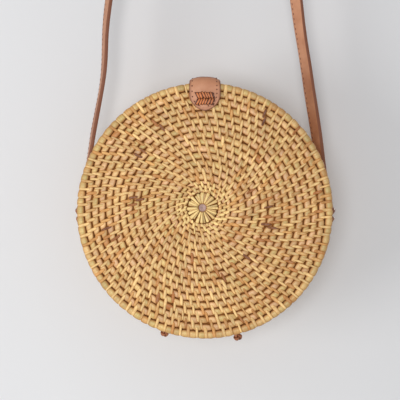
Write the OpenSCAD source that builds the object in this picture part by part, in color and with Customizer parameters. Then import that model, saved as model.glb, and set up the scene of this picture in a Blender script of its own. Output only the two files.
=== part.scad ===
// Round woven shoulder bag that hangs by its strap.
// X runs to the right, Y away from the viewer and Z up. The origin is on the
// axis of the peg that carries the strap, and the bag hangs below it.

/* [Bag] */
// Outer diameter over the rim hoops
bag_d = 200; // [160:1:240]
// Depth over both rim hoops when the bag is shut
bag_depth = 80; // [64:1:110]
// Bulge of each woven disc past its hoop
disc_dome = 2; // [1:0.25:4]
// Gap between the mouths of the two closed halves
seam_gap = 0.6; // [0.4:0.1:1]
// Distance from the peg's axis down to the middle of the discs
hang_length = 600; // [450:5:750]

/* [Weave] */
// Width of one coiled row
row_w = 5.7; // [4.5:0.1:7]
// Thickness of a woven disc over its ribs
disc_t = 4.2; // [3.4:0.1:5]
// Thickness of a woven side wall over its ribs
wall_t = 4.2; // [3.4:0.1:5]
// Height of a row's rib above the dip between rows
rib_h = 1; // [0.4:0.1:1.4]
// Thickness of the wrapped hoop round each disc
rim_hoop_d = 6.3; // [5:0.1:8]
// Thickness of the wrapped hoop round each mouth
mouth_hoop_d = 5.4; // [4.4:0.1:6.4]
// Inset of the side wall from the rim hoop's outer edge
wall_inset = 0.8; // [0.4:0.1:1.6]
// Number of fine rows round the rosette
fine_rows = 2; // [1:1:4]
// Width of one fine row
fine_row_w = 3.5; // [2.8:0.1:4.5]
// Diameter of the starting rosette in the middle of a disc
rosette_d = 28.4; // [22:0.2:32]
// Diameter of the hole in the rosette
eye_d = 5.6; // [4.4:0.1:7]
// Number of spokes in the rosette
spoke_count = 18; // [12:1:24]

/* [Lining] */
// Thickness of the cotton lining
lining_t = 0.8; // [0.5:0.1:1.2]
// Widest angle to which the side gussets let the front open
open_angle = 35; // [20:1:40]
// Angle above the middle at which a gusset ends
gusset_top_angle = 12; // [0:1:20]

/* [Tab] */
// Width of the leather tab
tab_w = 24.4; // [20:0.2:30]
// Thickness of the tab's stitched leather
tab_t = 2.6; // [2:0.1:3.2]
// Drop of the tab's round end below the top of the disc
tab_drop = 21; // [19:0.5:28]
// Height of the tab's round end
tab_end_h = 9; // [7:0.5:12]
// Reach of the flap's free end behind the seam
flap_reach = 28.4; // [24:0.2:32]
// Height of the flap's underside above the rim
flap_rise = 2.2; // [2:0.1:3]
// Diameter of the magnetic snap
snap_d = 13; // [11:0.5:15]
// Distance from the snap's middle to the flap's free end
snap_inset = 10.4; // [8:0.2:16]

/* [Lacing] */
// Number of chevrons in the lacing on the tab
chevron_count = 6; // [4:1:7]
// Distance from one chevron to the next
chevron_pitch = 2.5; // [2.2:0.05:2.7]
// Height of the two rows of chevrons together
chevron_h = 11.4; // [9:0.2:13]
// Thickness of the thong in the lacing
thong_t = 1.2; // [0.8:0.1:1.6]

/* [Strap] */
// Width of the strap
strap_w = 12; // [9:0.5:15]
// Thickness of the two stitched plies
strap_t = 3; // [2.4:0.1:3.6]
// Distance of the strap's lacing behind the mouth hoop
lacing_gap = 0.8; // [0.5:0.1:3]
// Radius of the peg seat in the top bend
peg_r = 12; // [10:0.5:20]
// Turn of the left run where it twists most
left_twist = 27; // [0:1:40]
// Turn of the right run where it twists most
right_twist = 48; // [0:1:60]
// Height of the thong wraps over the strap's ends
wrap_h = 5; // [3.6:0.1:6]
// Thickness of the wraps up and down the strap
wrap_w = 5.4; // [4.4:0.1:6]

/* [Hinge ties] */
// Place of the left tie from the middle
left_tie_x = -32; // [-42:1:-22]
// Place of the right tie from the middle
right_tie_x = 26; // [22:1:42]
// Width of a tie's thong
tie_w = 4.6; // [3.6:0.1:6]
// Thickness of a tie's thong
tie_t = 1.6; // [1.2:0.1:2]
// Diameter of a tie's knot
knot_d = 7.6; // [6:0.1:8.6]
// Height of a knot below its thong
knot_h = 7.6; // [5:0.1:9]

/* [Hidden] */
$fn = 72;

cane_color = "#D9B679";
hoop_color = "#D8A85C";
rosette_color = "#E6CB8E";
lining_color = "#DCCDB8";
leather_color = "#C98F6C";
thong_color = "#8A4A22";
metal_color = "#B9B4A8";

// Clearances
fit = 0.3;
touch = 0.15;
overrun = 1;

// Rim, wall and disc
rim_r = bag_d / 2;
half_depth = bag_depth / 2;
wall_out_r = rim_r - wall_inset;
wall_in_r = wall_out_r - wall_t;
rim_hoop_r = rim_r - rim_hoop_d / 2;
rim_hoop_h = half_depth - rim_hoop_d / 2;
mouth_hoop_r = wall_out_r - mouth_hoop_d / 2;
mouth_hoop_h = seam_gap / 2 + mouth_hoop_d / 2;
wall_low = seam_gap / 2 + mouth_hoop_d + touch;
wall_high = half_depth - rim_hoop_d - touch;
wall_rows = round((wall_high - wall_low) / row_w);
rosette_r = rosette_d / 2;
eye_r = eye_d / 2;
disc_in_r = rosette_r + touch;
disc_out_r = rim_r - rim_hoop_d - touch;
fine_out_r = disc_in_r + fine_rows * fine_row_w;
disc_rows = round((disc_out_r - fine_out_r) / row_w);
disc_pitch = (disc_out_r - fine_out_r) / disc_rows;
disc_drop = 0.6;
rib_steps = 6;
spoke_w = 1.7;
spoke_t = 0.9;
spoke_crowd_share = 0.2;
spoke_flare_share = 2.1;
spoke_in_r = spoke_w * spoke_count * spoke_crowd_share;
spoke_rise = 0.4;

// Lining and gussets
lining_out_r = wall_in_r - fit;
lining_low = seam_gap / 2 + mouth_hoop_d + 2 * fit + tie_t + fit;
gusset_out_r = lining_out_r - lining_t - fit;
gusset_edge = lining_low - fit;
gusset_steps = 16;
gusset_low_angle = asin(max(-left_tie_x, right_tie_x) / mouth_hoop_r) + 5 - 90;
lining_turn_r = disc_out_r - fit;
gusset_fold_share = sin(open_angle / 2);

// Tab
tab_lift = 0.6;
tab_back_y = -half_depth - tab_lift;
tab_front_y = tab_back_y - tab_t;
flap_low = rim_r + flap_rise;
flap_high = flap_low + tab_t;
bend_in_r = 5;
bend_y = tab_back_y + bend_in_r;
bend_z = flap_low - bend_in_r;
flap_end_r = tab_w / 2;
tab_shoulder_share = 0.8;
lacing_drop_share = 0.52;
lacing_z = rim_r - tab_drop * lacing_drop_share;
lacing_w = chevron_count * chevron_pitch;
chevron_lean = 2.6;
chevron_bar_w = 1.9;
leg_reach = tab_lift + disc_t;
leg_inset = 3;

// Magnetic snap
snap_t = 1.3;
snap_r = snap_d / 2;
snap_post_r = 2;
snap_y = flap_reach - snap_inset;

// Strap
strap_in_r = wall_out_r + 2 * fit;
strap_mid_r = strap_in_r + strap_t / 2;
strap_out_r = strap_in_r + strap_t;
crown_mid_r = peg_r + strap_t / 2;
strap_slope = asin((strap_mid_r - crown_mid_r) / hang_length);
swing_z = strap_mid_r * sin(strap_slope);
swing_x = strap_mid_r * cos(strap_slope);
crown_x = crown_mid_r * cos(strap_slope);
crown_z = crown_mid_r * sin(strap_slope);
strap_end_angle = -12.5;
twist_start = 20;
end_steps = 5;
run_steps = 30;
left_rise_share = 1.5;
right_rise_share = 0.5;

// Wraps that lace the strap's ends
upper_wrap_z = -0.5;
lower_wrap_z = -7.5;
wrap_overhang = 1.6;
wrap_leg_w = 2.2;
wrap_leg_y = strap_w / 2 + touch + wrap_overhang / 2;
strap_y = seam_gap / 2 + mouth_hoop_d + lacing_gap + wrap_overhang + touch + strap_w / 2;

// Hinge ties
tie_in_r = mouth_hoop_d / 2 + fit;
tie_out_r = tie_in_r + tie_t;
knot_tube_share = 0.21;
knot_bud_share = 0.4;
knot_tube_r = knot_d * knot_tube_share;
knot_ring_r = knot_d / 2 - knot_tube_r;
knot_bud_r = knot_d * knot_bud_share;

// Places a piece built about the bag's middle
module at_bag() {
    translate([0, 0, -hang_length]) children();
}

// Turns a piece revolved about Z so that it faces the viewer, or away
module facing(side) {
    rotate([side * -90, 0, 0]) children();
}

function rib(share) = rib_h * sin(180 * share);

function dome_h(r) = half_depth - disc_drop + disc_dome * (1 - pow(r / rim_r, 2));

// Height of the disc's ribbed face over one run of equal rows
function disc_face(in_r, rows, pitch) = [
    for (i = [0 : rows - 1], k = [0 : rib_steps - 1])
        let (share = k / rib_steps, r = in_r + (i + share) * pitch)
            [r, dome_h(r) - rib_h + rib(share)]
];

function disc_back() = [
    for (i = [disc_rows : -1 : 0])
        let (r = disc_in_r + (disc_out_r - disc_in_r) * i / disc_rows)
            [r, dome_h(r) - disc_t]
];

// Coiled disc: a few fine rows round the rosette, then the rest of the rows
module woven_disc() {
    rotate_extrude()
        polygon(concat(disc_face(disc_in_r, fine_rows, fine_row_w),
            disc_face(fine_out_r, disc_rows, disc_pitch),
            [[disc_out_r, dome_h(disc_out_r) - rib_h]], disc_back()));
}

// Plan of a spoke, which widens toward the rosette's edge
module spoke_outline(inset) {
    in_w = spoke_w / 2 - inset / 2;
    out_w = spoke_w / 2 * spoke_flare_share - inset;
    polygon([[spoke_in_r, -in_w], [rosette_r - touch - inset, -out_w],
        [rosette_r - touch - inset, out_w], [spoke_in_r, in_w]]);
}

// Ring of cane with a raised strand for each spoke
module rosette() {
    top = dome_h(rosette_r) + spoke_rise - spoke_t;
    rotate_extrude()
        polygon([[eye_r, dome_h(rosette_r) - disc_t], [rosette_r, dome_h(rosette_r) - disc_t],
            [rosette_r, top], [eye_r + spoke_t, top], [eye_r, top - spoke_t]]);
    for (i = [0 : spoke_count - 1], layer = [1, 2])
        rotate([0, 0, i * 360 / spoke_count]) translate([0, 0, top - spoke_t])
            linear_extrude(spoke_t * (1 + layer / 2)) spoke_outline(spoke_t / 2 * (layer - 1));
}

module hoop(ring_r, ring_h, cane_d) {
    rotate_extrude() translate([ring_r, ring_h]) circle(d = cane_d);
}

module woven_wall() {
    pitch = (wall_high - wall_low) / wall_rows;
    rotate_extrude()
        polygon(concat([[wall_in_r, wall_low]],
            [for (i = [0 : wall_rows - 1], k = [0 : rib_steps - 1])
                [wall_out_r - rib_h + rib(k / rib_steps), wall_low + (i + k / rib_steps) * pitch]],
            [[wall_out_r - rib_h, wall_high], [wall_in_r, wall_high]]));
}

module lining() {
    top = [for (i = [0 : disc_rows]) let (r = lining_turn_r * i / disc_rows)
        [r, dome_h(r) - disc_t - fit]];
    under = [for (i = [disc_rows : -1 : 0]) let (r = (lining_turn_r - lining_t) * i / disc_rows)
        [r, dome_h(r) - disc_t - fit - lining_t]];
    side = [[lining_out_r, wall_high], [lining_out_r, lining_low],
        [lining_out_r - lining_t, lining_low], [lining_out_r - lining_t, wall_high - lining_t]];
    rotate_extrude() polygon(concat(top, side, under));
}

// Notches in a wall that let the hinge ties pass round the mouth hoop
module tie_notches(side) {
    for (x = [left_tie_x, right_tie_x])
        tie_place(x)
            translate([-tie_w / 2 - fit, side > 0 ? 0 : -lining_low, -tie_out_r - fit])
                cube([tie_w + 2 * fit, lining_low, 2 * (tie_out_r + fit)]);
}

// Legs of the wraps on the right-hand end, through the wall beside the strap
module wrap_legs(spare, low_r, high_r) {
    for (z = [upper_wrap_z, lower_wrap_z], edge = [-1, 1])
        translate([(low_r + high_r) / 2, strap_y + edge * wrap_leg_y, z])
            cube([high_r - low_r, wrap_overhang + 2 * spare, wrap_leg_w + 2 * spare], center = true);
}

module front_disc() {
    color(cane_color) at_bag() difference() {
        facing(-1) woven_disc();
        lacing_legs(touch, overrun);
    }
}

module front_rosette() {
    color(rosette_color) at_bag() facing(-1) rosette();
}

module front_rim_hoop() {
    color(hoop_color) at_bag() facing(-1) hoop(rim_hoop_r, rim_hoop_h, rim_hoop_d);
}

module front_wall() {
    color(cane_color) at_bag() difference() {
        facing(-1) woven_wall();
        tie_notches(-1);
    }
}

module front_mouth_hoop() {
    color(hoop_color) at_bag() facing(-1) hoop(mouth_hoop_r, mouth_hoop_h, mouth_hoop_d);
}

module front_lining() {
    color(lining_color) at_bag() facing(-1) lining();
}

module back_disc() {
    color(cane_color) at_bag() facing(1) woven_disc();
}

module back_rosette() {
    color(rosette_color) at_bag() facing(1) rosette();
}

module back_rim_hoop() {
    color(hoop_color) at_bag() facing(1) hoop(rim_hoop_r, rim_hoop_h, rim_hoop_d);
}

module back_wall() {
    color(cane_color) at_bag() difference() {
        facing(1) woven_wall();
        tie_notches(1);
        wrap_legs(touch, wall_in_r - overrun, wall_out_r + overrun);
        mirror([1, 0, 0]) wrap_legs(touch, wall_in_r - overrun, wall_out_r + overrun);
        translate([0, snap_y, wall_in_r - overrun])
            cylinder(r = snap_post_r + touch, h = wall_t + 2 * overrun);
    }
}

module back_mouth_hoop() {
    color(hoop_color) at_bag() facing(1) hoop(mouth_hoop_r, mouth_hoop_h, mouth_hoop_d);
}

module back_lining() {
    color(lining_color) at_bag() facing(1) lining();
}

// One cut through a gusset: two sheets that meet in an inward fold
function fold_cut(angle) =
    let (fold = gusset_fold_share * (rim_r + gusset_out_r * sin(angle)),
        fold_r = gusset_out_r - fold)
    [for (p = [[gusset_out_r, -gusset_edge], [gusset_out_r, lining_t - gusset_edge],
            [fold_r + 2 * lining_t, 0], [gusset_out_r, gusset_edge - lining_t],
            [gusset_out_r, gusset_edge], [fold_r, 0]])
        [p[0] * cos(angle), p[1], p[0] * sin(angle)]];

// Skin over rings of points, each with the same number of points
function ring_faces(rings, sides) = concat(
    [for (i = [0 : rings - 2], k = [0 : sides - 1])
        let (a = i * sides + k, b = i * sides + (k + 1) % sides)
            [a, b, a + sides]],
    [for (i = [0 : rings - 2], k = [0 : sides - 1])
        let (b = i * sides + (k + 1) % sides, c = b + sides, d = i * sides + k + sides)
            [b, c, d]]);

module gusset() {
    angles = [for (i = [0 : gusset_steps - 1])
        gusset_low_angle + (gusset_top_angle - gusset_low_angle) * i / (gusset_steps - 1)];
    last = 6 * (gusset_steps - 1);
    polyhedron([for (a = angles) each fold_cut(a)],
        concat(ring_faces(gusset_steps, 6),
            [[5, 1, 0], [5, 2, 1], [5, 3, 2], [5, 4, 3]],
            [[last + 5, last, last + 1], [last + 5, last + 1, last + 2],
                [last + 5, last + 2, last + 3], [last + 5, last + 3, last + 4]]),
        convexity = 4);
}

module gusset_right() {
    color(lining_color) at_bag() gusset();
}

module gusset_left() {
    color(lining_color) at_bag() mirror([1, 0, 0]) gusset();
}

// Outline of the tab's front plate: straight sides, then a round end
function tab_side(turn) = tab_w / 2 * pow(cos(turn), tab_shoulder_share);

module tab_outline() {
    low = rim_r - tab_drop;
    shoulder = low + tab_end_h;
    polygon(concat([[tab_w / 2, bend_z], [-tab_w / 2, bend_z]],
        [for (turn = [0 : 10 : 80]) [-tab_side(turn), shoulder - tab_end_h * sin(turn)]],
        [[0, low]],
        [for (turn = [80 : -10 : 0]) [tab_side(turn), shoulder - tab_end_h * sin(turn)]]));
}

module tab_anchor() {
    color(leather_color) at_bag() difference() {
        union() {
            translate([0, tab_back_y, 0]) rotate([90, 0, 0]) linear_extrude(tab_t) tab_outline();
            translate([tab_w / 2, bend_y, bend_z]) rotate([90, 0, -90])
                rotate_extrude(angle = 90) translate([bend_in_r, 0]) square([tab_t, tab_w]);
        }
        lacing_legs(touch, overrun);
    }
}

// The two flat legs of the thong that go back through tab and disc
module lacing_legs(spare, deeper) {
    for (edge = [-1, 1])
        translate([-chevron_lean / 2, tab_back_y + (leg_reach - tab_t) / 2,
            lacing_z + edge * (chevron_h / 2 - leg_inset)])
            cube([lacing_w + 2 * spare, leg_reach + tab_t + 2 * deeper, thong_t + 2 * spare],
                center = true);
}

module tab_lacing() {
    rise = chevron_h / 2;
    color(thong_color) at_bag() union() {
        lacing_legs(0, 0);
        for (i = [0 : chevron_count - 1])
            translate([(i - (chevron_count - 1) / 2) * chevron_pitch - chevron_lean / 2,
                tab_front_y, lacing_z])
                rotate([90, 0, 0]) linear_extrude(thong_t)
                    polygon([[-chevron_bar_w / 2, -rise], [chevron_bar_w / 2, -rise],
                        [chevron_lean + chevron_bar_w / 2, 0], [chevron_bar_w / 2, rise],
                        [-chevron_bar_w / 2, rise], [chevron_lean - chevron_bar_w / 2, 0]]);
    }
}

module tab_flap() {
    end_y = flap_reach - flap_end_r;
    start_y = bend_y + touch;
    color(leather_color) at_bag()
        translate([0, 0, flap_low]) linear_extrude(tab_t) union() {
            translate([-tab_w / 2, start_y]) square([tab_w, end_y - start_y]);
            translate([0, end_y]) circle(r = flap_end_r);
        }
}

module tab_snap() {
    color(metal_color) at_bag()
        translate([0, snap_y, flap_low - snap_t]) cylinder(r = snap_r, h = snap_t);
}

module wall_snap() {
    top = flap_low - snap_t - fit;
    color(metal_color) at_bag() translate([0, snap_y, 0]) union() {
        translate([0, 0, wall_out_r + touch])
            cylinder(r = snap_r, h = top - wall_out_r - touch);
        translate([0, 0, wall_in_r]) cylinder(r = snap_post_r, h = wall_t + touch);
    }
}

module strap_crown() {
    color(leather_color)
        rotate([90, 0, 0]) rotate([0, 0, strap_slope])
            rotate_extrude(angle = 180 - 2 * strap_slope)
                translate([peg_r, -strap_w / 2]) square([strap_t, strap_w]);
}

// Share of the way up a run, from where its twist starts to its top
function twist_at(s, length, turn, rise_share) =
    let (u = (s - twist_start) / (length - 2 * twist_start))
    u <= 0 || u >= 1 ? 0 : turn * pow(sin(180 * u), rise_share);

// Half the run's width at a distance from its round lower end
function run_half_w(s) = s >= strap_w / 2 ? strap_w / 2
    : sqrt(pow(strap_w / 2, 2) - pow(strap_w / 2 - s, 2));

// Distances of the rings from the swing line, closer round the lower end
function run_stations(length) = concat(
    [for (i = [0 : end_steps - 1]) strap_w / 2 * (1 - cos(90 * (i + 1 / 3) / end_steps)) - strap_w / 2],
    [for (i = [0 : run_steps]) length * i / run_steps]);

function run_ring(s, length, hand, turn, rise_share) =
    let (share = s / length,
        mid_x = swing_x + (crown_x - swing_x) * share,
        mid_z = -hang_length + swing_z + (crown_z + hang_length - swing_z) * share,
        mid_y = strap_y * (1 - max(share, 0)),
        twist = twist_at(s, length, turn, rise_share),
        half_w = run_half_w(s + strap_w / 2),
        across = [sin(twist) * cos(strap_slope), cos(twist), sin(twist) * sin(strap_slope)],
        through = [cos(twist) * cos(strap_slope), -sin(twist), cos(twist) * sin(strap_slope)])
    [for (p = [[-1, -1], [1, -1], [1, 1], [-1, 1]])
        let (q = [mid_x, mid_y, mid_z] + p[0] * half_w * across + p[1] * strap_t / 2 * through)
            [hand * q[0], q[1], q[2]]];

module strap_run(hand, turn, rise_share) {
    length = norm([swing_x - crown_x, hang_length - swing_z + crown_z]);
    stations = run_stations(length);
    rings = len(stations);
    last = 4 * (rings - 1);
    faces = concat(ring_faces(rings, 4), [[2, 1, 0], [3, 2, 0]],
        [[last, last + 1, last + 2], [last, last + 2, last + 3]]);
    polyhedron([for (s = stations) each run_ring(s, length, hand, turn, rise_share)],
        hand > 0 ? faces : [for (f = faces) [f[2], f[1], f[0]]], convexity = 4);
}

module strap_right_run() {
    color(leather_color) strap_run(1, -right_twist, right_rise_share);
}

module strap_left_run() {
    color(leather_color) strap_run(-1, left_twist, left_rise_share);
}

// Lower end of the strap, bent to the wall and hollowed round the run's end
module strap_end() {
    difference() {
        translate([0, strap_y, 0]) rotate([90, 0, 0]) rotate([0, 0, strap_end_angle])
            rotate_extrude(angle = strap_slope - strap_end_angle)
                translate([strap_in_r, -strap_w / 2]) square([strap_t, strap_w]);
        translate([strap_in_r - strap_t, strap_y, swing_z]) rotate([0, 90, 0])
            cylinder(r = strap_w / 2 + fit, h = 3 * strap_t);
    }
}

module strap_right_end() {
    color(leather_color) at_bag() strap_end();
}

module strap_left_end() {
    color(leather_color) at_bag() mirror([1, 0, 0]) strap_end();
}

// Two thong wraps over a strap's end, each with a leg through the wall on
// either side of the strap
module strap_lacing() {
    length = strap_w + 2 * (wrap_overhang + touch);
    mid_r = strap_out_r + wrap_h - wrap_w / 2;
    union() {
        for (z = [upper_wrap_z, lower_wrap_z])
            intersection() {
                translate([mid_r, strap_y, z]) rotate([90, 0, 0])
                    cylinder(d = wrap_w, h = length, center = true);
                translate([strap_out_r + touch, strap_y - length, z - wrap_w])
                    cube([wrap_h, 2 * length, 2 * wrap_w]);
            }
        wrap_legs(0, wall_in_r, mid_r);
    }
}

module strap_right_lacing() {
    color(thong_color) at_bag() strap_lacing();
}

module strap_left_lacing() {
    color(thong_color) at_bag() mirror([1, 0, 0]) strap_lacing();
}

// Moves to a tie's place on the mouth hoops, with -Z along the hoop's radius
module tie_place(x) {
    lean = asin(x / mouth_hoop_r);
    rotate([0, -lean, 0]) translate([0, 0, -mouth_hoop_r]) children();
}

// Half of a tie's band: round its own hoop, then straight to the seam
module tie_band(side) {
    intersection() {
        difference() {
            union() {
                translate([0, side * mouth_hoop_h, 0]) rotate([0, 90, 0])
                    cylinder(r = tie_out_r, h = tie_w, center = true);
                translate([-tie_w / 2, side > 0 ? 0 : -mouth_hoop_h, -tie_out_r])
                    cube([tie_w, mouth_hoop_h, 2 * tie_out_r]);
            }
            translate([0, side * mouth_hoop_h, 0]) rotate([0, 90, 0])
                cylinder(r = tie_in_r, h = tie_w + 2 * overrun, center = true);
            translate([-tie_w / 2 - overrun, side > 0 ? -overrun : -mouth_hoop_h, -tie_in_r])
                cube([tie_w + 2 * overrun, mouth_hoop_h + overrun, 2 * tie_in_r]);
        }
        translate([-tie_w, side > 0 ? touch : -2 * lining_low - touch, -2 * tie_out_r])
            cube([2 * tie_w, 2 * lining_low, 4 * tie_out_r]);
    }
}

module hinge_tie_front(x) {
    color(thong_color) at_bag() tie_place(x) tie_band(-1);
}

// Half the outline of a knot's bud, which closes in toward its tip
function knot_outline() = concat([[0, 0]],
    [for (turn = [0 : 15 : 75])
        [knot_bud_r * cos(turn), knot_tube_r + (knot_h - knot_tube_r) * sin(turn)]],
    [[0, knot_h]]);

module hinge_tie_back(x) {
    color(thong_color) at_bag() tie_place(x) union() {
        tie_band(1);
        translate([0, touch + knot_d / 2, fit - tie_out_r - knot_tube_r])
            rotate_extrude() translate([knot_ring_r, 0]) circle(r = knot_tube_r);
        translate([0, touch + knot_d / 2, fit - tie_out_r]) rotate([180, 0, 0])
            rotate_extrude() polygon(knot_outline());
    }
}

module hinge_tie_left_front() {
    hinge_tie_front(left_tie_x);
}

module hinge_tie_right_front() {
    hinge_tie_front(right_tie_x);
}

module hinge_tie_left_back() {
    hinge_tie_back(left_tie_x);
}

module hinge_tie_right_back() {
    hinge_tie_back(right_tie_x);
}

front_disc();
front_rosette();
front_rim_hoop();
front_wall();
front_mouth_hoop();
front_lining();
back_disc();
back_rosette();
back_rim_hoop();
back_wall();
back_mouth_hoop();
back_lining();
gusset_left();
gusset_right();
tab_anchor();
tab_lacing();
tab_flap();
tab_snap();
wall_snap();
strap_crown();
strap_left_run();
strap_right_run();
strap_left_end();
strap_right_end();
strap_left_lacing();
strap_right_lacing();
hinge_tie_left_front();
hinge_tie_right_front();
hinge_tie_left_back();
hinge_tie_right_back();
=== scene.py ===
"""A round shoulder bag of woven cane with a leather strap, dressed round its packed solids."""

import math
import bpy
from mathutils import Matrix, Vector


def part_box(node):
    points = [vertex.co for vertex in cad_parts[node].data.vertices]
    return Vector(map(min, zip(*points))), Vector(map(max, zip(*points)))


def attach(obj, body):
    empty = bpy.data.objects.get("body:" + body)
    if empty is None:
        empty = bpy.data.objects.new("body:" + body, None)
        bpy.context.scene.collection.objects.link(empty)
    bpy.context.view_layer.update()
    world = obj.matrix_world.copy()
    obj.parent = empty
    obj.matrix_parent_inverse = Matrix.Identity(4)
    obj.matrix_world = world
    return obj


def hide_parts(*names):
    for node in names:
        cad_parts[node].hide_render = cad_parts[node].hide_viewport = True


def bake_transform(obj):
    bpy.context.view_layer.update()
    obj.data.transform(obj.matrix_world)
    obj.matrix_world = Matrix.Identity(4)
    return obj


bl_info = {
    "name": "Round cane bag",
    "version": (1, 0, 0),
    "blender": (4, 5, 0),
    "location": "3D View > Sidebar > Cane bag",
    "description": "Builds the weave, leather, cloth and stage of a round cane bag",
    "category": "Object",
}

from collections import namedtuple
from functools import partial

import bpy
import numpy as np
from mathutils import Vector

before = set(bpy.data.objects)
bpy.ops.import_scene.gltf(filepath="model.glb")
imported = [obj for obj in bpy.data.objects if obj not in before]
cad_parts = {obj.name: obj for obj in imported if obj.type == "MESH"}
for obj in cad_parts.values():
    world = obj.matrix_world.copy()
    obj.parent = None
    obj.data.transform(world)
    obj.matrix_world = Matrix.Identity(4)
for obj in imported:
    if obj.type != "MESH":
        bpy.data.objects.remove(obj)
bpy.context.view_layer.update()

MM = 0.001


def lin(*rgb):
    """A colour given in 0 to 255 steps, as the linear colour that shaders take."""
    return tuple((c / 255 / 12.92) if c <= 10 else ((c / 255 + 0.055) / 1.055) ** 2.4 for c in rgb)


def colour(name, description, *rgb):
    """A colour that can be set, with its default in 0 to 255 steps."""
    return bpy.props.FloatVectorProperty(name=name, description=description, subtype="COLOR",
                                         min=0, max=1, default=lin(*rgb))


def length(name, description, mm):
    """A length that can be set, with its default in millimetres."""
    return bpy.props.FloatProperty(name=name, description=description, default=mm * MM,
                                   min=0, unit="LENGTH", subtype="DISTANCE", precision=5)


def count(name, description, default):
    """A number of things that can be set."""
    return bpy.props.IntProperty(name=name, description=description, default=default, min=1)


def factor(name, description, default):
    """A share from 0 to 1 that can be set."""
    return bpy.props.FloatProperty(name=name, description=description, default=default,
                                   min=0, max=1, subtype="FACTOR")


class CaneShellSettings(bpy.types.PropertyGroup):
    """Sizes of the woven halves"""

    rim_radius: length("Rim radius", "Outer radius of the bag", 100)
    half_depth: length("Half depth", "Seam to the front of the rim hoop", 40)
    disc_out: length("Disc radius", "Radius at which the rim hoop begins", 93.55)
    fine_out: length("Fine rows radius", "Radius at which the two fine rows end", 21.5)
    eye_radius: length("Eye radius", "Radius of the hole in the middle of the rosette", 3.0)
    wall_radius: length("Wall radius", "Outer radius of the side wall", 99.2)
    wall_low: length("Wall start", "Seam to the first row of the wall", 5.85)
    wall_high: length("Wall end", "Seam to the last row of the wall", 33.55)
    disc_rows: count("Disc rows", "Rows of the disc outside the fine ones", 13)
    wall_rows: count("Wall rows", "Rows of each side wall", 5)
    stitch_width: length("Stitch width", "Width of the thin binding strand", 2.5)
    crown: length("Row crown", "How far a row's middle stands over its edges", 1.4)
    unevenness: factor("Unevenness", "How far strands stray from an even weave", 0.5)
    spokes: count("Rosette spokes", "Bright spokes round the eye", 16)
    spoke_reach: length("Spoke reach", "Radius at which the bright spokes end", 12.1)
    fine_rows: count("Fine rows", "Narrow rows round the spokes", 3)
    eye_left: length("Eye offset left", "How far the handmade eye sits left of the middle", 1.7)
    eye_up: length("Eye offset up", "How far the handmade eye sits above the middle", 2.6)


class CaneColours(bpy.types.PropertyGroup):
    """Colours of the cane"""

    straw: colour("Straw", "Most of the wide strands", 228, 192, 130)
    blush: colour("Blush", "Pinkish wide strands", 230, 186, 140)
    green: colour("Green straw", "Greenish wide strands", 216, 190, 122)
    toast: colour("Toast", "Darker wide strands", 186, 120, 62)
    russet: colour("Russet", "The few stained strands", 92, 50, 36)
    bright: colour("Bright", "Thin binding strands", 240, 204, 140)
    gold: colour("Gold", "Yellower binding strands", 214, 162, 96)
    spoke: colour("Spoke", "Spokes of the rosette", 250, 220, 150)
    # Painted shade of the gaps between the strands
    crevice: colour("Crevice", "Between the strands", 78, 44, 18)


class StrapSettings(bpy.types.PropertyGroup):
    """Sizes of the strap"""

    width: length("Strap width", "Width of the strap", 12)
    thickness: length("Strap thickness", "Both plies of the strap together", 3)
    peg_radius: length("Peg radius", "Radius of the bend over the peg", 12)
    hang: length("Hang length", "Top bend to the middle of the bag", 600)
    offset: length("Strap offset", "Seam to the middle of the strap's ends", 14.25)
    mid_radius: length("Strap seat radius", "Radius of the strap's middle where it is laced", 101.3)
    stitch_pitch: length("Stitch pitch", "Distance between the strap's stitches", 4.1)


class LeatherColours(bpy.types.PropertyGroup):
    """Colours of the leather and thong"""

    face: colour("Leather", "Face of the strap and tab", 198, 142, 108)
    deep: colour("Leather shade", "Handled places of the strap and tab", 170, 112, 80)
    edge: colour("Burnished edge", "Edges of the strap and tab", 124, 74, 50)
    crease: colour("Crease", "Pressed lines and stitch holes", 92, 44, 24)
    thong: colour("Tab thong", "Lacing of the tab", 200, 118, 64)
    wrap: colour("Strap thong", "Lacing of the strap and hinges", 168, 104, 68)
    thong_dark: colour("Thong shade", "Darker places of the lacing", 84, 38, 16)
    thread: colour("Thread", "Stitching thread", 104, 54, 34)


class TabSettings(bpy.types.PropertyGroup):
    """Sizes of the closing tab"""

    width: length("Tab width", "Width of the tab", 24.4)
    thickness: length("Tab thickness", "Thickness of the tab", 2.6)
    low: length("Tab end height", "Middle of the bag to the tab's lower end", 77.6)
    end_height: length("Tab end curve", "Height of the round end", 13)
    front: length("Tab front", "Seam to the back of the tab's front plate", 40.6)
    bend_height: length("Bend height", "Middle of the bag to the middle of the tab's bend", 97.2)
    bend_radius: length("Bend radius", "Inner radius of the tab's bend", 5)
    flap_length: length("Flap length", "Bend to the tab's free end", 64)
    arch: length("Tab arch", "How far the tab's sides droop over the rim", 3)
    chevrons: count("Chevrons", "Chevrons of the lacing", 6)


class LiningColours(bpy.types.PropertyGroup):
    """Colours of the cloth"""

    cloth: colour("Cloth", "Cotton lining", 205, 178, 170)
    cloth_shade: colour("Cloth shade", "Darker threads of the lining", 178, 148, 140)


class StageSettings(bpy.types.PropertyGroup):
    """Camera, backdrop and light"""

    distance: bpy.props.FloatProperty(
        name="Camera distance", description="Camera to the rim's front", default=1.0, min=0.1,
        unit="LENGTH", subtype="DISTANCE")
    wall: colour("Wall", "Pale wall behind the bag", 222, 223, 225)
    floor: colour("Floor", "Pale floor under the bag", 226, 226, 224)


GROUPS = {
    "bag_shell": CaneShellSettings, "bag_cane": CaneColours, "bag_strap": StrapSettings,
    "bag_leather": LeatherColours, "bag_tab": TabSettings, "bag_lining": LiningColours,
    "bag_stage": StageSettings,
}


def setting(group, name):
    """A setting as the makers use it: lengths in millimetres, the rest as they are."""
    value = getattr(getattr(bpy.context.scene, group), name)
    unit = GROUPS[group].bl_rna.properties[name].unit
    return value / MM if unit == "LENGTH" else value


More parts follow.
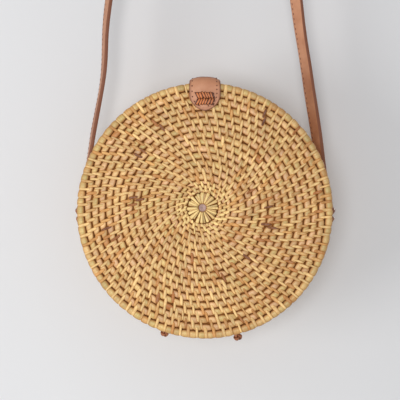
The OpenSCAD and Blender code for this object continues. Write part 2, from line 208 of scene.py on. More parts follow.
def paint(group, name):
    """A colour setting as shaders take it."""
    return (*getattr(getattr(bpy.context.scene, group), name), 1.0)


shell, strap, tab = (partial(setting, group) for group in ("bag_shell", "bag_strap", "bag_tab"))
cane, leather = (partial(paint, group) for group in ("bag_cane", "bag_leather"))


def unit(vectors):
    """The same directions, each at length one."""
    return vectors / np.linalg.norm(vectors, axis=-1, keepdims=True)


def distance_along(path):
    """How far along its path each point lies."""
    return np.concatenate(([0], np.cumsum(np.linalg.norm(np.diff(path, axis=0), axis=1))))


class Rings:
    """Gathers closed pieces, each a run of rings of points, into one mesh."""

    def __init__(self):
        self.points, self.quads, self.caps, self.slots, self.cap_slots = [], [], [], [], []
        self.values = {"fibre": [], "tone": [], "tint": [], "edge": []}
        self.total = 0

    def add(self, rings, fibre=None, edge=None, tone=0.5, tint=0.5, slot=0, loop=False):
        """One closed piece. Its ends are capped, or a loop joins the last ring to the first. Fibre
        is where each point lies along and across the strand, and edge how near it is to a side."""
        rings = np.asarray(rings, float)
        m, k = rings.shape[:2]
        i, j = np.meshgrid(np.arange(m if loop else m - 1), np.arange(k), indexing="ij")
        after, beside = (i + 1) % m, (j + 1) % k
        quads = np.stack((i * k + j, i * k + beside, after * k + beside, after * k + j), -1)
        quads = quads.reshape(-1, 4)
        flat = rings.reshape(-1, 3)
        local = flat - flat.mean(0)
        corner = local[quads]
        normal = np.cross(corner[:, 2] - corner[:, 0], corner[:, 3] - corner[:, 1])
        caps = [] if loop else [list(range(k))[::-1], list(range((m - 1) * k, m * k))]
        if (normal * corner.mean(1)).sum() < 0:
            quads = quads[:, ::-1]
            caps = [c[::-1] for c in caps]
        self.points.append(flat)
        self.quads.append(quads + self.total)
        self.caps += [[self.total + v for v in c] for c in caps]
        self.slots.append(np.full(len(quads), slot))
        self.cap_slots += [slot] * len(caps)
        fibre = np.zeros((m, k, 2)) if fibre is None else fibre
        # A third coordinate, which no two strands share, keeps their fibres apart
        third = np.full((m, k, 1), self.total * 0.37 % 97)
        self.values["fibre"].append(np.concatenate((fibre, third), 2).reshape(-1, 3))
        self.values["edge"].append(np.zeros(m * k) if edge is None
                                   else np.broadcast_to(edge, (m, k)).reshape(-1))
        self.values["tone"].append(np.full(m * k, tone))
        self.values["tint"].append(np.full(m * k, tint))
        self.total += m * k

    def build(self, name, materials):
        """The mesh of all the pieces, with their values as attributes."""
        mesh = bpy.data.meshes.new(name)
        quads = np.concatenate(self.quads)
        points = np.concatenate(self.points) * MM
        mesh.from_pydata(points.tolist(), [], quads.tolist() + self.caps)
        for title, parts in self.values.items():
            data = np.concatenate(parts).astype(np.float32)
            kind, key = ("FLOAT_VECTOR", "vector") if data.ndim == 2 else ("FLOAT", "value")
            mesh.attributes.new(title, kind, "POINT").data.foreach_set(key, data.ravel())
        mesh.polygons.foreach_set("material_index",
                                  np.concatenate(self.slots + [np.array(self.cap_slots, int)]))
        mesh.shade_smooth()
        for material in materials:
            mesh.materials.append(material)
        piece = bpy.data.objects.new(name, mesh)
        bpy.context.scene.collection.objects.link(piece)
        return piece


class Nodes:
    """Lays out a material's nodes with short calls."""

    def __init__(self, name):
        self.material = bpy.data.materials.new(name)
        self.material.use_nodes = True
        self.tree = self.material.node_tree
        self.shader = next(n for n in self.tree.nodes if n.type == "BSDF_PRINCIPLED")

    def node(self, kind, **inputs):
        made = self.tree.nodes.new(kind)
        for key, value in inputs.items():
            self.put(made.inputs[key.replace("_", " ")], value)
        return made

    def put(self, socket, value):
        if isinstance(value, bpy.types.NodeSocket):
            self.tree.links.new(value, socket)
        else:
            socket.default_value = value

    def attribute(self, name, output="Fac"):
        made = self.tree.nodes.new("ShaderNodeAttribute")
        made.attribute_name = name
        return made.outputs[output]

    def place(self):
        return self.tree.nodes.new("ShaderNodeTexCoord").outputs["Object"]

    def stretched(self, vector, *scale):
        made = self.node("ShaderNodeVectorMath")
        made.operation = "MULTIPLY"
        self.put(made.inputs[0], vector)
        self.put(made.inputs[1], scale)
        return made.outputs[0]

    def noise(self, vector, scale, detail=2.0, roughness=0.5):
        return self.node("ShaderNodeTexNoise", Vector=vector, Scale=scale, Detail=detail,
                         Roughness=roughness).outputs[0]

    def cells(self, vector, scale):
        return self.node("ShaderNodeTexVoronoi", Vector=vector, Scale=scale).outputs["Distance"]

    def between(self, value, low, high, to_low, to_high):
        """A value carried from one range to another, and held at its ends."""
        made = self.tree.nodes.new("ShaderNodeMapRange")
        for socket, entry in zip(made.inputs, (value, low, high, to_low, to_high)):
            self.put(socket, entry)
        return made.outputs[0]

    def maths(self, operation, a, b=0.5):
        made = self.tree.nodes.new("ShaderNodeMath")
        made.operation = operation
        self.put(made.inputs[0], a)
        self.put(made.inputs[1], b)
        return made.outputs[0]

    def ramp(self, value, *stops):
        made = self.tree.nodes.new("ShaderNodeValToRGB")
        spots = made.color_ramp.elements
        while len(spots) < len(stops):
            spots.new(0.5)
        for spot, (place, shade) in zip(spots, stops):
            spot.position = place
            spot.color = shade
        self.put(made.inputs[0], value)
        return made.outputs[0]

    def mix(self, share, a, b, kind="MIX"):
        made = self.tree.nodes.new("ShaderNodeMix")
        made.data_type = "RGBA"
        made.blend_type = kind
        self.put(made.inputs[0], share)
        self.put(made.inputs[6], a)
        self.put(made.inputs[7], b)
        return made.outputs[2]

    def grey(self, value):
        return self.ramp(value, (0, (0, 0, 0, 1)), (1, (1, 1, 1, 1)))

    def finish(self, base, roughness, bump, depth, **fixed):
        """Joins colour, roughness and relief, its depth in millimetres, to the shader."""
        self.put(self.shader.inputs["Base Color"], base)
        self.put(self.shader.inputs["Roughness"], roughness)
        relief = self.node("ShaderNodeBump", Height=bump, Distance=depth * MM)
        relief.inputs["Strength"].default_value = 1.0
        self.put(self.shader.inputs["Normal"], relief.outputs[0])
        for key, value in fixed.items():
            self.shader.inputs[key.replace("_", " ")].default_value = value
        return self.material


def cane_material(name, *stops):
    """Split cane: a colour for each strand, fine fibres along it, and painted shade at its edges.
    """
    n = Nodes(name)
    base = n.ramp(n.attribute("tint"), *stops)
    fibre = n.attribute("fibre", "Vector")
    streaks = n.noise(n.stretched(fibre, 0.12, 2.6, 1), 1.0, 3, 0.6)
    bands = n.noise(n.stretched(fibre, 0.08, 0.8, 1), 1.0, 2)
    mottling = n.noise(n.stretched(fibre, 0.5, 0.5, 1), 1.0, 2)
    patina = n.noise(n.place(), 70, 3, 0.6)
    # The tone darkens strands at random, and also carries painted shade: the side away from the
    # light and the rosette's lower spokes
    shade = n.maths("MULTIPLY", n.between(streaks, 0.25, 0.75, 0.84, 1.1),
                    n.between(n.attribute("tone"), 0, 1, 0.62, 1.2))
    shade = n.maths("MULTIPLY", shade, n.between(patina, 0.32, 0.68, 0.9, 1.06))
    shade = n.maths("MULTIPLY", shade, n.between(bands, 0.3, 0.7, 0.84, 1.1))
    base = n.mix(1.0, base, n.grey(n.maths("MULTIPLY", shade, 0.8)), "MULTIPLY")
    base = n.mix(1.0, base, (1.22, 1.19, 1.15, 1), "MULTIPLY")
    warm = n.between(mottling, 0.52, 0.78, 0, 0.45)
    base = n.mix(warm, base, cane("toast"))
    # Painted shade: towards a strand's edges it turns toast, then the dark colour of the gaps
    # between strands
    edge = n.attribute("edge")
    base = n.mix(n.between(edge, 0.02, 0.45, 0, 0.85), base, cane("toast"))
    base = n.mix(n.between(edge, 0.25, 1.0, 0, 0.95), base, cane("crevice"))
    dull = n.maths("ADD", n.between(streaks, 0.3, 0.7, 0.34, 0.5),
                   n.between(edge, 0.1, 0.6, 0, 0.45))
    return n.finish(base, dull, streaks, 0.12, Specular_IOR_Level=0.4)


def core_material():
    """The rods of the coil, as they show between strands, painted dark as shade."""
    n = Nodes("Cane core in shade")
    grain = n.noise(n.place(), 420, 3)
    base = n.ramp(grain, (0.3, cane("crevice")), (0.7, lin(158, 100, 44) + (1,)))
    return n.finish(base, 0.85, grain, 0.2, Specular_IOR_Level=0.05)


def leather_material(name, face, deep, edge, gloss):
    """Vegetable-tanned leather: pores, handling marks, burnished edges, and painted shade on
    thongs.
    """
    n = Nodes(name)
    where = n.place()
    pores = n.cells(where, 1500)
    creases = n.noise(where, 260, 4, 0.62)
    handling = n.noise(where, 42, 3, 0.6)
    base = n.mix(n.between(handling, 0.36, 0.68, 0, 1), face, deep)
    base = n.mix(n.between(creases, 0.52, 0.75, 0, 0.3), base, deep)
    base = n.mix(n.between(pores, 0.0, 0.22, 0.28, 0), base, edge)
    # On the strap and tab the edge is burnished. On the thongs this mix, and the crease colour past
    # one, are painted shade on their sides and undersides
    base = n.mix(n.between(n.attribute("edge"), 0.15, 0.6, 0, 1), base, edge)
    base = n.mix(n.between(n.attribute("edge"), 1.0, 2.0, 0, 1), base, leather("crease"))
    relief = n.maths("ADD", n.between(pores, 0, 0.3, 0, 0.5), creases)
    return n.finish(base, n.between(creases, 0.3, 0.7, gloss, gloss + 0.16), relief, 0.12,
                    Specular_IOR_Level=0.4)


def thread_material():
    """Twisted waxed thread."""
    n = Nodes("Waxed thread")
    twist = n.noise(n.place(), 2400, 2)
    shade = leather("thread")
    base = n.ramp(twist, (0.3, tuple(0.6 * c for c in shade[:3]) + (1,)), (0.7, shade))
    return n.finish(base, 0.5, twist, 0.1)


def cloth_material():
    """Plain-woven cotton."""
    n = Nodes("Cotton lining")
    where = n.place()
    warp = n.noise(n.stretched(where, 1900, 1900, 160), 1.0, 2)
    weft = n.noise(n.stretched(where, 160, 160, 1900), 1.0, 2)
    threads = n.maths("ADD", n.maths("MULTIPLY", warp, 0.5), n.maths("MULTIPLY", weft, 0.5))
    base = n.ramp(threads, (0.38, paint("bag_lining", "cloth_shade")),
                  (0.6, paint("bag_lining", "cloth")))
    return n.finish(base, 0.9, threads, 0.15, Sheen_Weight=0.25)


def metal_material():
    """Brushed brass with tarnish."""
    n = Nodes("Antique brass snap")
    brushed = n.noise(n.stretched(n.place(), 300, 300, 40), 1.0, 3)
    tarnish = n.noise(n.place(), 380, 3)
    base = n.mix(n.between(tarnish, 0.45, 0.7, 0, 0.6), lin(176, 146, 92) + (1,),
                 lin(96, 72, 40) + (1,))
    return n.finish(base, n.between(brushed, 0.3, 0.7, 0.28, 0.46), brushed, 0.03, Metallic=1.0)


MATERIALS = {}


def finish_of(name):
    """Each finish is made once, when the first piece needs it."""
    if name not in MATERIALS:
        makers = {
            "wrap": lambda: cane_material("Wide cane strand", (0.0, cane("russet")),
                                          (0.06, cane("toast")), (0.3, cane("straw")),
                                          (0.62, cane("blush")), (0.8, cane("straw")),
                                          (1.0, cane("green"))),
            "stitch": lambda: cane_material("Binding cane strand", (0.0, cane("russet")),
                                            (0.06, cane("toast")), (0.22, cane("gold")),
                                            (0.6, cane("bright")), (1.0, cane("bright"))),
            "hoop": lambda: cane_material("Rim hoop cane", (0.0, cane("toast")),
                                          (0.3, cane("straw")), (0.6, cane("green")),
                                          (0.85, cane("straw")), (1.0, cane("gold"))),
            "spoke": lambda: cane_material("Rosette spoke cane", (0.0, cane("gold")),
                                           (0.5, cane("spoke")), (1.0, cane("spoke"))),
            "core": core_material,
            "leather": lambda: leather_material("Strap leather", leather("face"), leather("deep"),
                                                leather("edge"), 0.48),
            "thong": lambda: leather_material("Tab thong leather", leather("thong"),
                                              leather("wrap"), leather("thong_dark"), 0.36),
            "wrapping": lambda: leather_material("Strap thong leather", leather("wrap"),
                                                 leather("edge"), leather("thong_dark"), 0.4),
            "thread": thread_material,
            "cloth": cloth_material,
            "metal": metal_material,
        }
        MATERIALS[name] = makers[name]()
    return MATERIALS[name]


# The weave runs row by row from the rosette over the rim to the mouth. A row is the places of its
# strands round the bag and a function from a share across the row to a radius and a height.

# A hoop's ring radius and its height over the seam, the radius it has with its wrapping, and the
# radius of its core
Hoop = namedtuple("Hoop", "ring height wrapped core")
RIM, MOUTH = Hoop(96.85, 36.85, 3.0, 2.35), Hoop(96.2, 3.0, 2.6, 2.0)

# How far the disc's crests lie below the rim's front at the rim, and rise from there to the middle
DISC_SINK, DISC_RISE = 0.6, 2

# Each hinge tie: its name, how far right of the middle it is, its seed, and its knot's size, how
# far below the tie's ring the knot hangs, and how far right of the tie. Then the radius from the
# bag's axis to the ties, and the radius of a tie's own loop
Tie = namedtuple("Tie", "name x seed knot_size knot_drop knot_shift")
TIES = (Tie("left", -32, 8, 2.3, 8.4, 2.4), Tie("right", 26, 9, 2.6, 9.6, -1.8))
TIE_RING, TIE_RADIUS = 96.5, 3.9


def dome(radius):
    """Height of the disc's crests over the seam."""
    edge = shell("half_depth") - DISC_SINK
    return edge + DISC_RISE * (1 - (radius / shell("rim_radius")) ** 2)


def flat_row(outer, inner):
    """A row of the disc."""
    crown = shell("crown")

    def place(v, lift=0.0):
        q = outer + (inner - outer) * (v + 1) / 2
        return np.stack((q, dome(q) + crown * (np.sqrt(1 - 0.9 * v ** 2) - 1) + lift), 1)
    return place


def wall_row(low, high):
    """A row of the side wall."""
    crown, radius = shell("crown"), shell("wall_radius")

    def place(v, lift=0.0):
        q = low + (high - low) * (v + 1) / 2
        return np.stack((radius + crown * (np.sqrt(1 - 0.9 * v ** 2) - 1) + lift, q), 1)
    return place


def hoop_row(hoop, middle, reach):
    """The wrapping of a hoop, over an arc given by its middle and half its reach in degrees."""
    def place(v, lift=0.0):
        turn = np.radians(middle + reach * v)
        return np.stack((hoop.ring + (hoop.wrapped + lift) * np.cos(turn),
                         hoop.height + (hoop.wrapped + lift) * np.sin(turn)), 1)
    return place


def strand_pitch(radius):
    """Unit of the weave, from stitch to stitch, which grows with the row's radius."""
    return np.interp(radius, (14, 24, 35, 52, 75, 94), (4.4, 5.7, 6.2, 6.5, 6.8, 6.7))


def spread(places, wanted, shift, rng, uneven):
    """The next row out: the last row's strands carried on, and new ones where it is widest."""
    row = list(np.sort((places + shift) % (2 * math.pi)))
    while len(row) < wanted:
        gaps = np.diff(row + [row[0] + 2 * math.pi])
        widest = int(np.argmax(gaps * (1 + 0.3 * rng.rand(len(gaps)))))
        row.append((row[widest] + gaps[widest] / 2) % (2 * math.pi))
        row.sort()
    row = np.array(row)
    for _ in range(5):
        before = np.roll(row, 1)
        after = np.roll(row, -1)
        before[0] -= 2 * math.pi
        after[-1] += 2 * math.pi
        row = row + 0.35 * ((before + after) / 2 - row)
    step = 2 * math.pi / len(row)
    return row + uneven * step * 0.13 * rng.randn(len(row)).clip(-1.6, 1.6)


def lay(path, theta, half_width, section):
    """Rings of a strand that follows a path over the shell, at an angle that may drift."""
    step = unit(np.gradient(path, axis=0))
    lift = section[None, :, 1]
    radius = path[:, :1] + step[:, 1:] * lift
    height = path[:, 1:] - step[:, :1] * lift
    across = half_width[:, None] * section[None, :, 0]
    c, s = np.cos(theta)[:, None], np.sin(theta)[:, None]
    rings = np.stack((radius * c - across * s, height + 0 * across, radius * s + across * c), 2)
    fibre = np.stack(np.broadcast_arrays(distance_along(path)[:, None], across), 2)
    return rings, fibre


def onto(side, rings):
    """From a shell's own frame to the front half (side -1) or the back half (side 1)."""
    rings = np.asarray(rings, float)
    x, y, z = rings[..., 0], rings[..., 1], rings[..., 2]
    inward = 1 - np.hypot(x, z) / shell("disc_out")
    off = inward.clip(0, 1) * (y > 30)
    sway = inward.clip(0, 0.12) / 0.12 * (y > 30)
    x = x - off * shell("eye_left") + 0.35 * sway * np.sin(z / 9 + x / 23 + side)
    z = z + off * shell("eye_up") + 0.35 * sway * np.sin(x / 10 - z / 31 + 2 * side)
    return np.stack((-side * x, side * y, z - strap("hang")), -1)


# A wide strand's places across its row, how far it sinks there and how dark its painted shade is
# there, and its section with painted shade at its own two edges. The thin strand that binds has a
# section and painted shade at its edges as well.
BLOCK_V = np.array([-1.0, -0.96, -0.85, -0.5, -0.1, 0.3, 0.6, 0.8, 0.93, 1.0])
BLOCK_SINK = np.array([1.0, 0.38, 0.06, 0, 0, 0.0, 0.08, 0.3, 0.75, 1.5])
BLOCK_PAINTED_SHADE = np.array([1.0, 0.55, 0.2, 0.05, 0, 0.02, 0.14, 0.34, 0.75, 1.0])
BLOCK = np.array([[-1, -2.0], [-1, -0.6], [-0.86, -0.18], [-0.45, 0.07], [0, 0.16], [0.45, 0.07],
                  [0.86, -0.18], [1, -0.6], [1, -2.0]])
ACROSS_PAINTED_SHADE = np.array([0.8, 0.4, 0.18, 0.04, 0, 0.04, 0.18, 0.4, 0.8])
STITCH = np.array([[-1, -0.8], [-0.88, -0.28], [-0.5, 0.04], [0, 0.16], [0.5, 0.04], [0.88, -0.28],
                   [1, -0.8]])
STITCH_PAINTED_SHADE = np.array([0.7, 0.32, 0.06, 0, 0.06, 0.32, 0.7])


def stains(theta, radius, side):
    """How far a strand is stained, from a few places that damp has marked. A mark is its place
    right of and above the disc's middle, its size and its strength. The back's are turned round."""
    if side > 0:
        theta = theta + 2.2
    x, z = radius * math.cos(theta), radius * math.sin(theta)
    marks = ((-35, 66, 6, 0.9), (-54, 46, 7, 1.0), (-61, 4, 7, 0.7), (51, 5, 6, 1.1),
             (54, -10, 6, 1.2), (52, -24, 5, 1.0), (14, -52, 6, 1.0), (34, -45, 6, 0.7),
             (53, 54, 11, 0.4), (91, 14, 4, 1.1), (93, 1, 4, 1.1), (70, -38, 8, 0.6),
             (-76, -20, 5, 0.6), (-44, -20, 6, 0.5))
    return max(strength * math.exp(-((x - a) ** 2 + (z - b) ** 2) / (2 * size ** 2))
               for a, b, size, strength in marks)


def tint_of(rng, stain, low, high, deepest):
    """Which of the cane's colours a strand has."""
    if rng.rand() < 0.008 + 0.9 * stain ** 2:
        return deepest + 0.12 * rng.rand()
    return low + (high - low) * rng.rand()


def woven_half(side, seed):
    """Rings for the disc, wall and hoops of one half."""
    rng = np.random.RandomState(seed)
    uneven = shell("unevenness")
    edges = list(np.linspace(shell("spoke_reach") - 0.2, shell("fine_out"), shell("fine_rows") + 1))
    edges += list(np.linspace(shell("fine_out"), shell("disc_out"), shell("disc_rows") + 1))[1:]
    rows = [("disc", flat_row(outer, inner), (outer + inner) / 2)
            for inner, outer in zip(edges[:-1], edges[1:])]
    rows.append(("rim", hoop_row(RIM, 52, 92), RIM.ring))
    heights = np.linspace(shell("wall_high"), shell("wall_low"), shell("wall_rows") + 1)
    rows += [("wall", wall_row(low, high), shell("wall_radius"))
             for high, low in zip(heights[:-1], heights[1:])]
    rows.append(("mouth", hoop_row(MOUTH, -12, 90), MOUTH.ring))
    gathered = {part: Rings() for part in ("disc", "rim", "wall", "mouth")}

    places = np.arange(20) * 2 * math.pi / 20
    for index, (part, place, radius) in enumerate(rows):
        wanted = max(int(round(2 * math.pi * radius / strand_pitch(radius))), 20)
        lean = np.interp(radius, (15, 40, 97), (0.75, 1.35, 0.85))
        base, once, twice = 0.04 * rng.randn(), 6.28 * rng.rand(), 6.28 * rng.rand()
        last = rows[index - 1][0] if index else None
        # Where the thin strands start and stop, as shares across their row and into the next
        start = 0.24 if part == "rim" else 0.04
        stop = 1.21 if last == "rim" else 1.52
        if index:
            places = spread(places, wanted, (lean + 2.05) / radius, rng, uneven)
        onward = rows[index - 1][1] if index else None
        bag = gathered[part]
        for k, theta in enumerate(places):
            before = places[k - 1] - (2 * math.pi if k == 0 else 0)
            stain = stains(theta, radius, side) if part in ("disc", "rim") else 0.15 * rng.rand()
            # Rows and stretches of a row differ a little, and painted shade darkens the outer rows
            # to the right
            zone_and_side_shade = base + 0.05 * math.sin(theta + once) + 0.04 * math.sin(3 * theta + twice)
            zone_and_side_shade -= 0.13 * (radius / 97) ** 2 * math.cos(theta - 0.35)
            tone = 0.55 - 0.1 * (part == "rim") + zone_and_side_shade + 0.13 * rng.randn() - 0.08 * stain
            tone = float(np.clip(tone, 0, 1))
            middle, width = (theta + before) / 2, (theta - before) * radius
            lay_block(bag, part, place, side, radius, middle, width, lean, rng, tone,
                      tint_of(rng, 0.15 * stain, 0.24, 1.0, 0.05))
            tone = float(np.clip(0.58 + zone_and_side_shade + 0.13 * rng.randn() - 0.1 * stain, 0, 1))
            arched = [crossed in ("disc", "wall") and shell("crown") for crossed in (part, last)]
            slot = 4 if radius < shell("fine_out") - 1.5 else 1
            lay_stitch(bag, place, onward, side, theta, lean, rng, tone,
                       tint_of(rng, stain, 0.12, 0.95, 0.0), arched, start, stop, slot)
    return gathered


def lay_block(bag, part, place, side, radius, middle, width, lean, rng, tone, tint):
    """The wide strand between two stitches, crowned over its row."""
    flat = part in ("disc", "wall")
    if part == "rim":
        v = np.linspace(-1.9, 1.75, 17)
    elif part == "mouth":
        v = np.linspace(-2.75, 1.2, 19)
    else:
        v = -1 + (BLOCK_V + 1) * (np.interp(radius, (30, 60), (0.87, 0.84)) + 0.09 * rng.rand())
    path = place(v, 0.1 * rng.randn() * flat)
    half = np.full(len(v), width / 2 - 0.1)
    turn = np.full(len(v), middle)
    # Painted shade: darker towards the block's two sides
    edge = np.broadcast_to(ACROSS_PAINTED_SHADE, (len(v), len(BLOCK))).copy()
    # Painted shade on the rim, where its wrapping turns away at the outer silhouette and on its
    # inner side
    if part == "rim":
        shade = np.interp(v, (-0.95, -0.45, 0.0, 0.3, 0.6, 0.9, 1.15),
                          (0.5, 0.34, 0.12, 0, 0, 0.3, 0.9))
        edge = 1 - (1 - 0.6 * edge) * (1 - shade[:, None])
    if flat:
        path[:, 1 if part == "disc" else 0] -= BLOCK_SINK
        half = half * path[:, 0] / radius * np.interp(v, (-1, 0.3, 0.85), (1.0, 1.0, 0.82))
        turn = turn + (0.45 * rng.randn() - 1.3 * lean) / radius * (v + 1) / 2
        # Painted shade towards both ends of a flat block, where it dips into the gaps between rows
        edge = 1 - (1 - edge) * (1 - BLOCK_PAINTED_SHADE[:, None])
    section = BLOCK.copy()
    section[:, 1] += 0.14 * rng.randn() * section[:, 0]
    if not flat:
        section[:, 1] = np.where(section[:, 1] < -1, -1.2, section[:, 1] * 1.15)
    rings, fibre = lay(path, turn, half, section)
    bag.add(onto(side, rings), fibre, edge, tone, tint, 0 if flat else 2)


def lay_stitch(bag, place, onward, side, theta, lean, rng, tone, tint, arched, start, stop, slot):
    """The thin strand that binds its row to the next one in. It spans the dip between two rows."""
    start = start + 0.14 * rng.rand()
    reach = stop + 0.2 * rng.rand() * (stop > 1.3) if onward else 0.97
    body = np.array([0.3, 0.45, 0.6, 0.74, 0.87, 1.0, 1.13, 1.27, 1.42])
    body = body[(body > start + 0.16) & (body < reach - 0.19)]
    x = np.concatenate(((start, start + 0.05, start + 0.13), body,
                        (reach - 0.16, reach - 0.06, reach)))
    lift = 0.42 + 0.06 * rng.randn() - 0.1 * np.exp(-((x - 1) / 0.16) ** 2)
    lift = lift - 1.5 * (1 - (x - start) / 0.16).clip(0, 1) ** 2
    lift = lift - 1.6 * (1 - (reach - x) / 0.2).clip(0, 1) ** 2
    own = x <= 1.0
    span = lambda v, crown: 0.5 * crown * (1 - np.sqrt(1 - 0.9 * v ** 2)) * (x > 0.2)
    v = np.where(own, 2 * x - 1, 1.0)
    path = place(v, lift + span(v, arched[0]))
    if onward:
        v = np.where(own, -1.0, 2 * x - 3)
        second = onward(v, lift + span(v, arched[1]))
        mid = int(np.argmin(np.abs(x - 1)))
        seam = (path[mid] + second[mid]) / 2
        path = np.where(own[:, None], path, second)
        path[mid] = seam + 0.45 * ((path[mid - 1] + path[mid + 1]) / 2 - seam)
    wobble = 0.05 * rng.randn()
    drift = theta - (lean * x + wobble * x ** 2) / path[:, 0]
    along = (x - x[0]) / (x[-1] - x[0])
    half = shell("stitch_width") / 2 * (1 + 0.13 * rng.randn()) * (
        0.7 + 0.34 * np.sin(math.pi * along) ** 0.8)
    rings, fibre = lay(path, drift, half, STITCH)
    # Painted shade at the strand's sides, and where it dives into the weave at both ends
    edge = np.broadcast_to(STITCH_PAINTED_SHADE, rings.shape[:2]).copy()
    edge[[0, -1]] = 1.0
    edge[[1, -2]] = np.maximum(edge[[1, -2]], 0.4)
    bag.add(onto(side, rings), fibre, edge, tone, tint, slot)


def lathe(bag, side, profile, segments, slot=0, edge=0.0, wrinkle=None):
    """A closed profile of radius and height, revolved about the bag's axis."""
    profile = np.asarray(profile, float)
    turn = np.arange(segments) * 2 * math.pi / segments
    radius = np.broadcast_to(profile[:, 0], (segments, len(profile))).copy()
    height = np.broadcast_to(profile[:, 1], (segments, len(profile))).copy()
    if wrinkle is not None:
        radius, height = wrinkle(radius, height, turn[:, None])
    rings = np.stack((radius * np.cos(turn)[:, None], height, radius * np.sin(turn)[:, None]), 2)
    bag.add(onto(side, rings), None, np.full(rings.shape[:2], edge), slot=slot, loop=True)


def cores(gathered, side):
    """Rods of the coil and what closes the shell behind the strands."""
    q = np.linspace(shell("disc_out") + 0.6, shell("spoke_reach") - 0.8, 60)
    top = [(r, dome(r) - 1.55) for r in q]
    under = [(r, dome(r) - 4.2) for r in q[::-4]]
    lathe(gathered["disc"], side, top + under, 128, 3)
    outer, inner, low = shell("wall_radius") - 1.6, 95, shell("wall_low") - 0.3
    lathe(gathered["wall"], side, [(outer, low), (outer, shell("wall_high") + 0.6), (inner, 34),
                                   (inner, 20), (inner, low)], 128, 3)
    turn = np.linspace(0, 2 * math.pi, 16, endpoint=False)
    for part, hoop in (("rim", RIM), ("mouth", MOUTH)):
        lathe(gathered[part], side, np.stack((hoop.ring + hoop.core * np.cos(turn),
                                              hoop.height + hoop.core * np.sin(turn)), 1), 128, 3)


def rosette(side, seed):
    """Bright spokes round the eye, over a bed of duller ones whose low tone is painted shade."""
    rng = np.random.RandomState(seed)
    bag = Rings()
    outer, eye, spokes = shell("spoke_reach"), shell("eye_radius"), shell("spokes")
    top = dome(0) - 0.2

    def spoke(theta, start, width, lift, slot, tone, tint):
        q = np.array([start, start - 0.35, start - 1.1, start * 0.75, start * 0.5, start * 0.33,
                      eye + 0.9, eye + 0.35, eye, eye - 0.05])
        drop = np.array([-1.3, -0.35, 0, 0.05, 0.05, -0.02, -0.16, -0.5, -1.2, -2.4])
        path = np.stack((q, top + lift + drop), 1)
        half = width / 2 * np.interp(q, (eye, outer), (0.42, 1.0))
        turn = theta + 0.02 * rng.randn() * np.linspace(1, 0, len(q))
        rings, fibre = lay(path, turn, half, STITCH)
        # Painted shade on the spoke's sides, its outer end and its dip into the eye
        edge = np.zeros(rings.shape[:2])
        edge[:, [0, -1]] = 0.7
        edge[:, [1, -2]] = 0.2
        edge[0] = 1.0
        edge[-3:] = np.maximum(edge[-3:], 0.35)
        bag.add(onto(side, rings), fibre, edge, tone, tint, slot)

    step = 2 * math.pi / spokes
    for k in range(spokes):
        theta = (k + 0.12 * rng.randn()) * step
        spoke(theta, outer + 0.5 - 1.4 * rng.rand() ** 2, 2.75 + 0.3 * rng.randn(), 0.5, 0,
              0.62 + 0.12 * rng.randn(), 0.35 + 0.65 * rng.rand())
        theta += step * (0.5 + 0.08 * rng.randn())
        # A lower spoke, its low tone painted shade under the bright ones
        spoke(theta, outer - 0.2 - 1.2 * rng.rand(), 2.2 + 0.3 * rng.randn(), -0.25,
              rng.randint(0, 2), 0.26 + 0.14 * rng.randn(), 0.3 + 0.6 * rng.rand())
    # The bed beneath, in the core's painted shade
    lathe(bag, side, [(outer + 0.6, top - 1.5), (eye + 0.4, top - 1.1), (eye, top - 1.8),
                      (eye, top - 3.4), (outer + 0.6, top - 3.9)], 64, 2, 0.4)
    return bag


# Each half's name, the side of the seam it is on, and its seed
SIDES = (("front", -1, 11), ("back", 1, 47))


def weave_shells():
    """The woven disc, rim hoop, wall and mouth hoop of each half."""
    finishes = [finish_of(name) for name in ("wrap", "stitch", "hoop", "core", "spoke")]
    for half, side, seed in SIDES:
        gathered = woven_half(side, seed)
        cores(gathered, side)
        for part, node in (("disc", "disc"), ("rim", "rim_hoop"), ("wall", "wall"),
                           ("mouth", "mouth_hoop")):
            piece = gathered[part].build(f"{half}_{node}_weave", finishes)
            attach(piece, f"{half}_half")
            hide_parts(f"{half}_{node}")


def lace_rosettes():
    """The rosette in the middle of each disc."""
    for half, side, seed in SIDES:
        piece = rosette(side, seed + 5).build(
            f"{half}_rosette_spokes", [finish_of(name) for name in ("spoke", "wrap", "core")])
        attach(piece, f"{half}_half")
        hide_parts(f"{half}_rosette")


def sew_linings():
    """Cloth inside each half, a little loose over the disc and along the wall."""
    for half, side, seed in SIDES:
        rng = np.random.RandomState(seed + 9)
        waves = [(n, rng.rand() * 6.28, rng.rand()) for n in (5, 9, 13, 23)]

        def wrinkle(radius, height, turn):
            ripple = sum(a * np.sin(n * turn + p) / len(waves) for n, p, a in waves)
            flat = (radius / 93).clip(0, 1) ** 2 * (height > 33)
            return (radius - 0.35 * (ripple + 0.5) * (height < 34),
                    height - 0.5 * flat * (ripple + 1))

        q = np.linspace(0.15, 92.6, 34)
        near = 1.9 * np.exp(-(q / 7) ** 2)
        top = [(r, dome(r) - 4.75 + lift) for r, lift in zip(q, near)]
        side_out = [(93.9, 33.6), (94.6, 32.2), (94.7, 24), (94.7, 14), (94.7, 8.3)]
        side_in = [(93.95, 8.3), (93.95, 14), (93.95, 24), (93.8, 32.4), (93.0, 33.2)]
        under = [(r, h - 0.7) for r, h in top[::-1]]
        bag = Rings()
        lathe(bag, side, top + side_out + side_in + under, 120, wrinkle=wrinkle)
        piece = bag.build(f"{half}_lining_cloth", [finish_of("cloth")])
        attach(piece, f"{half}_half")
        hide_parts(f"{half}_lining")


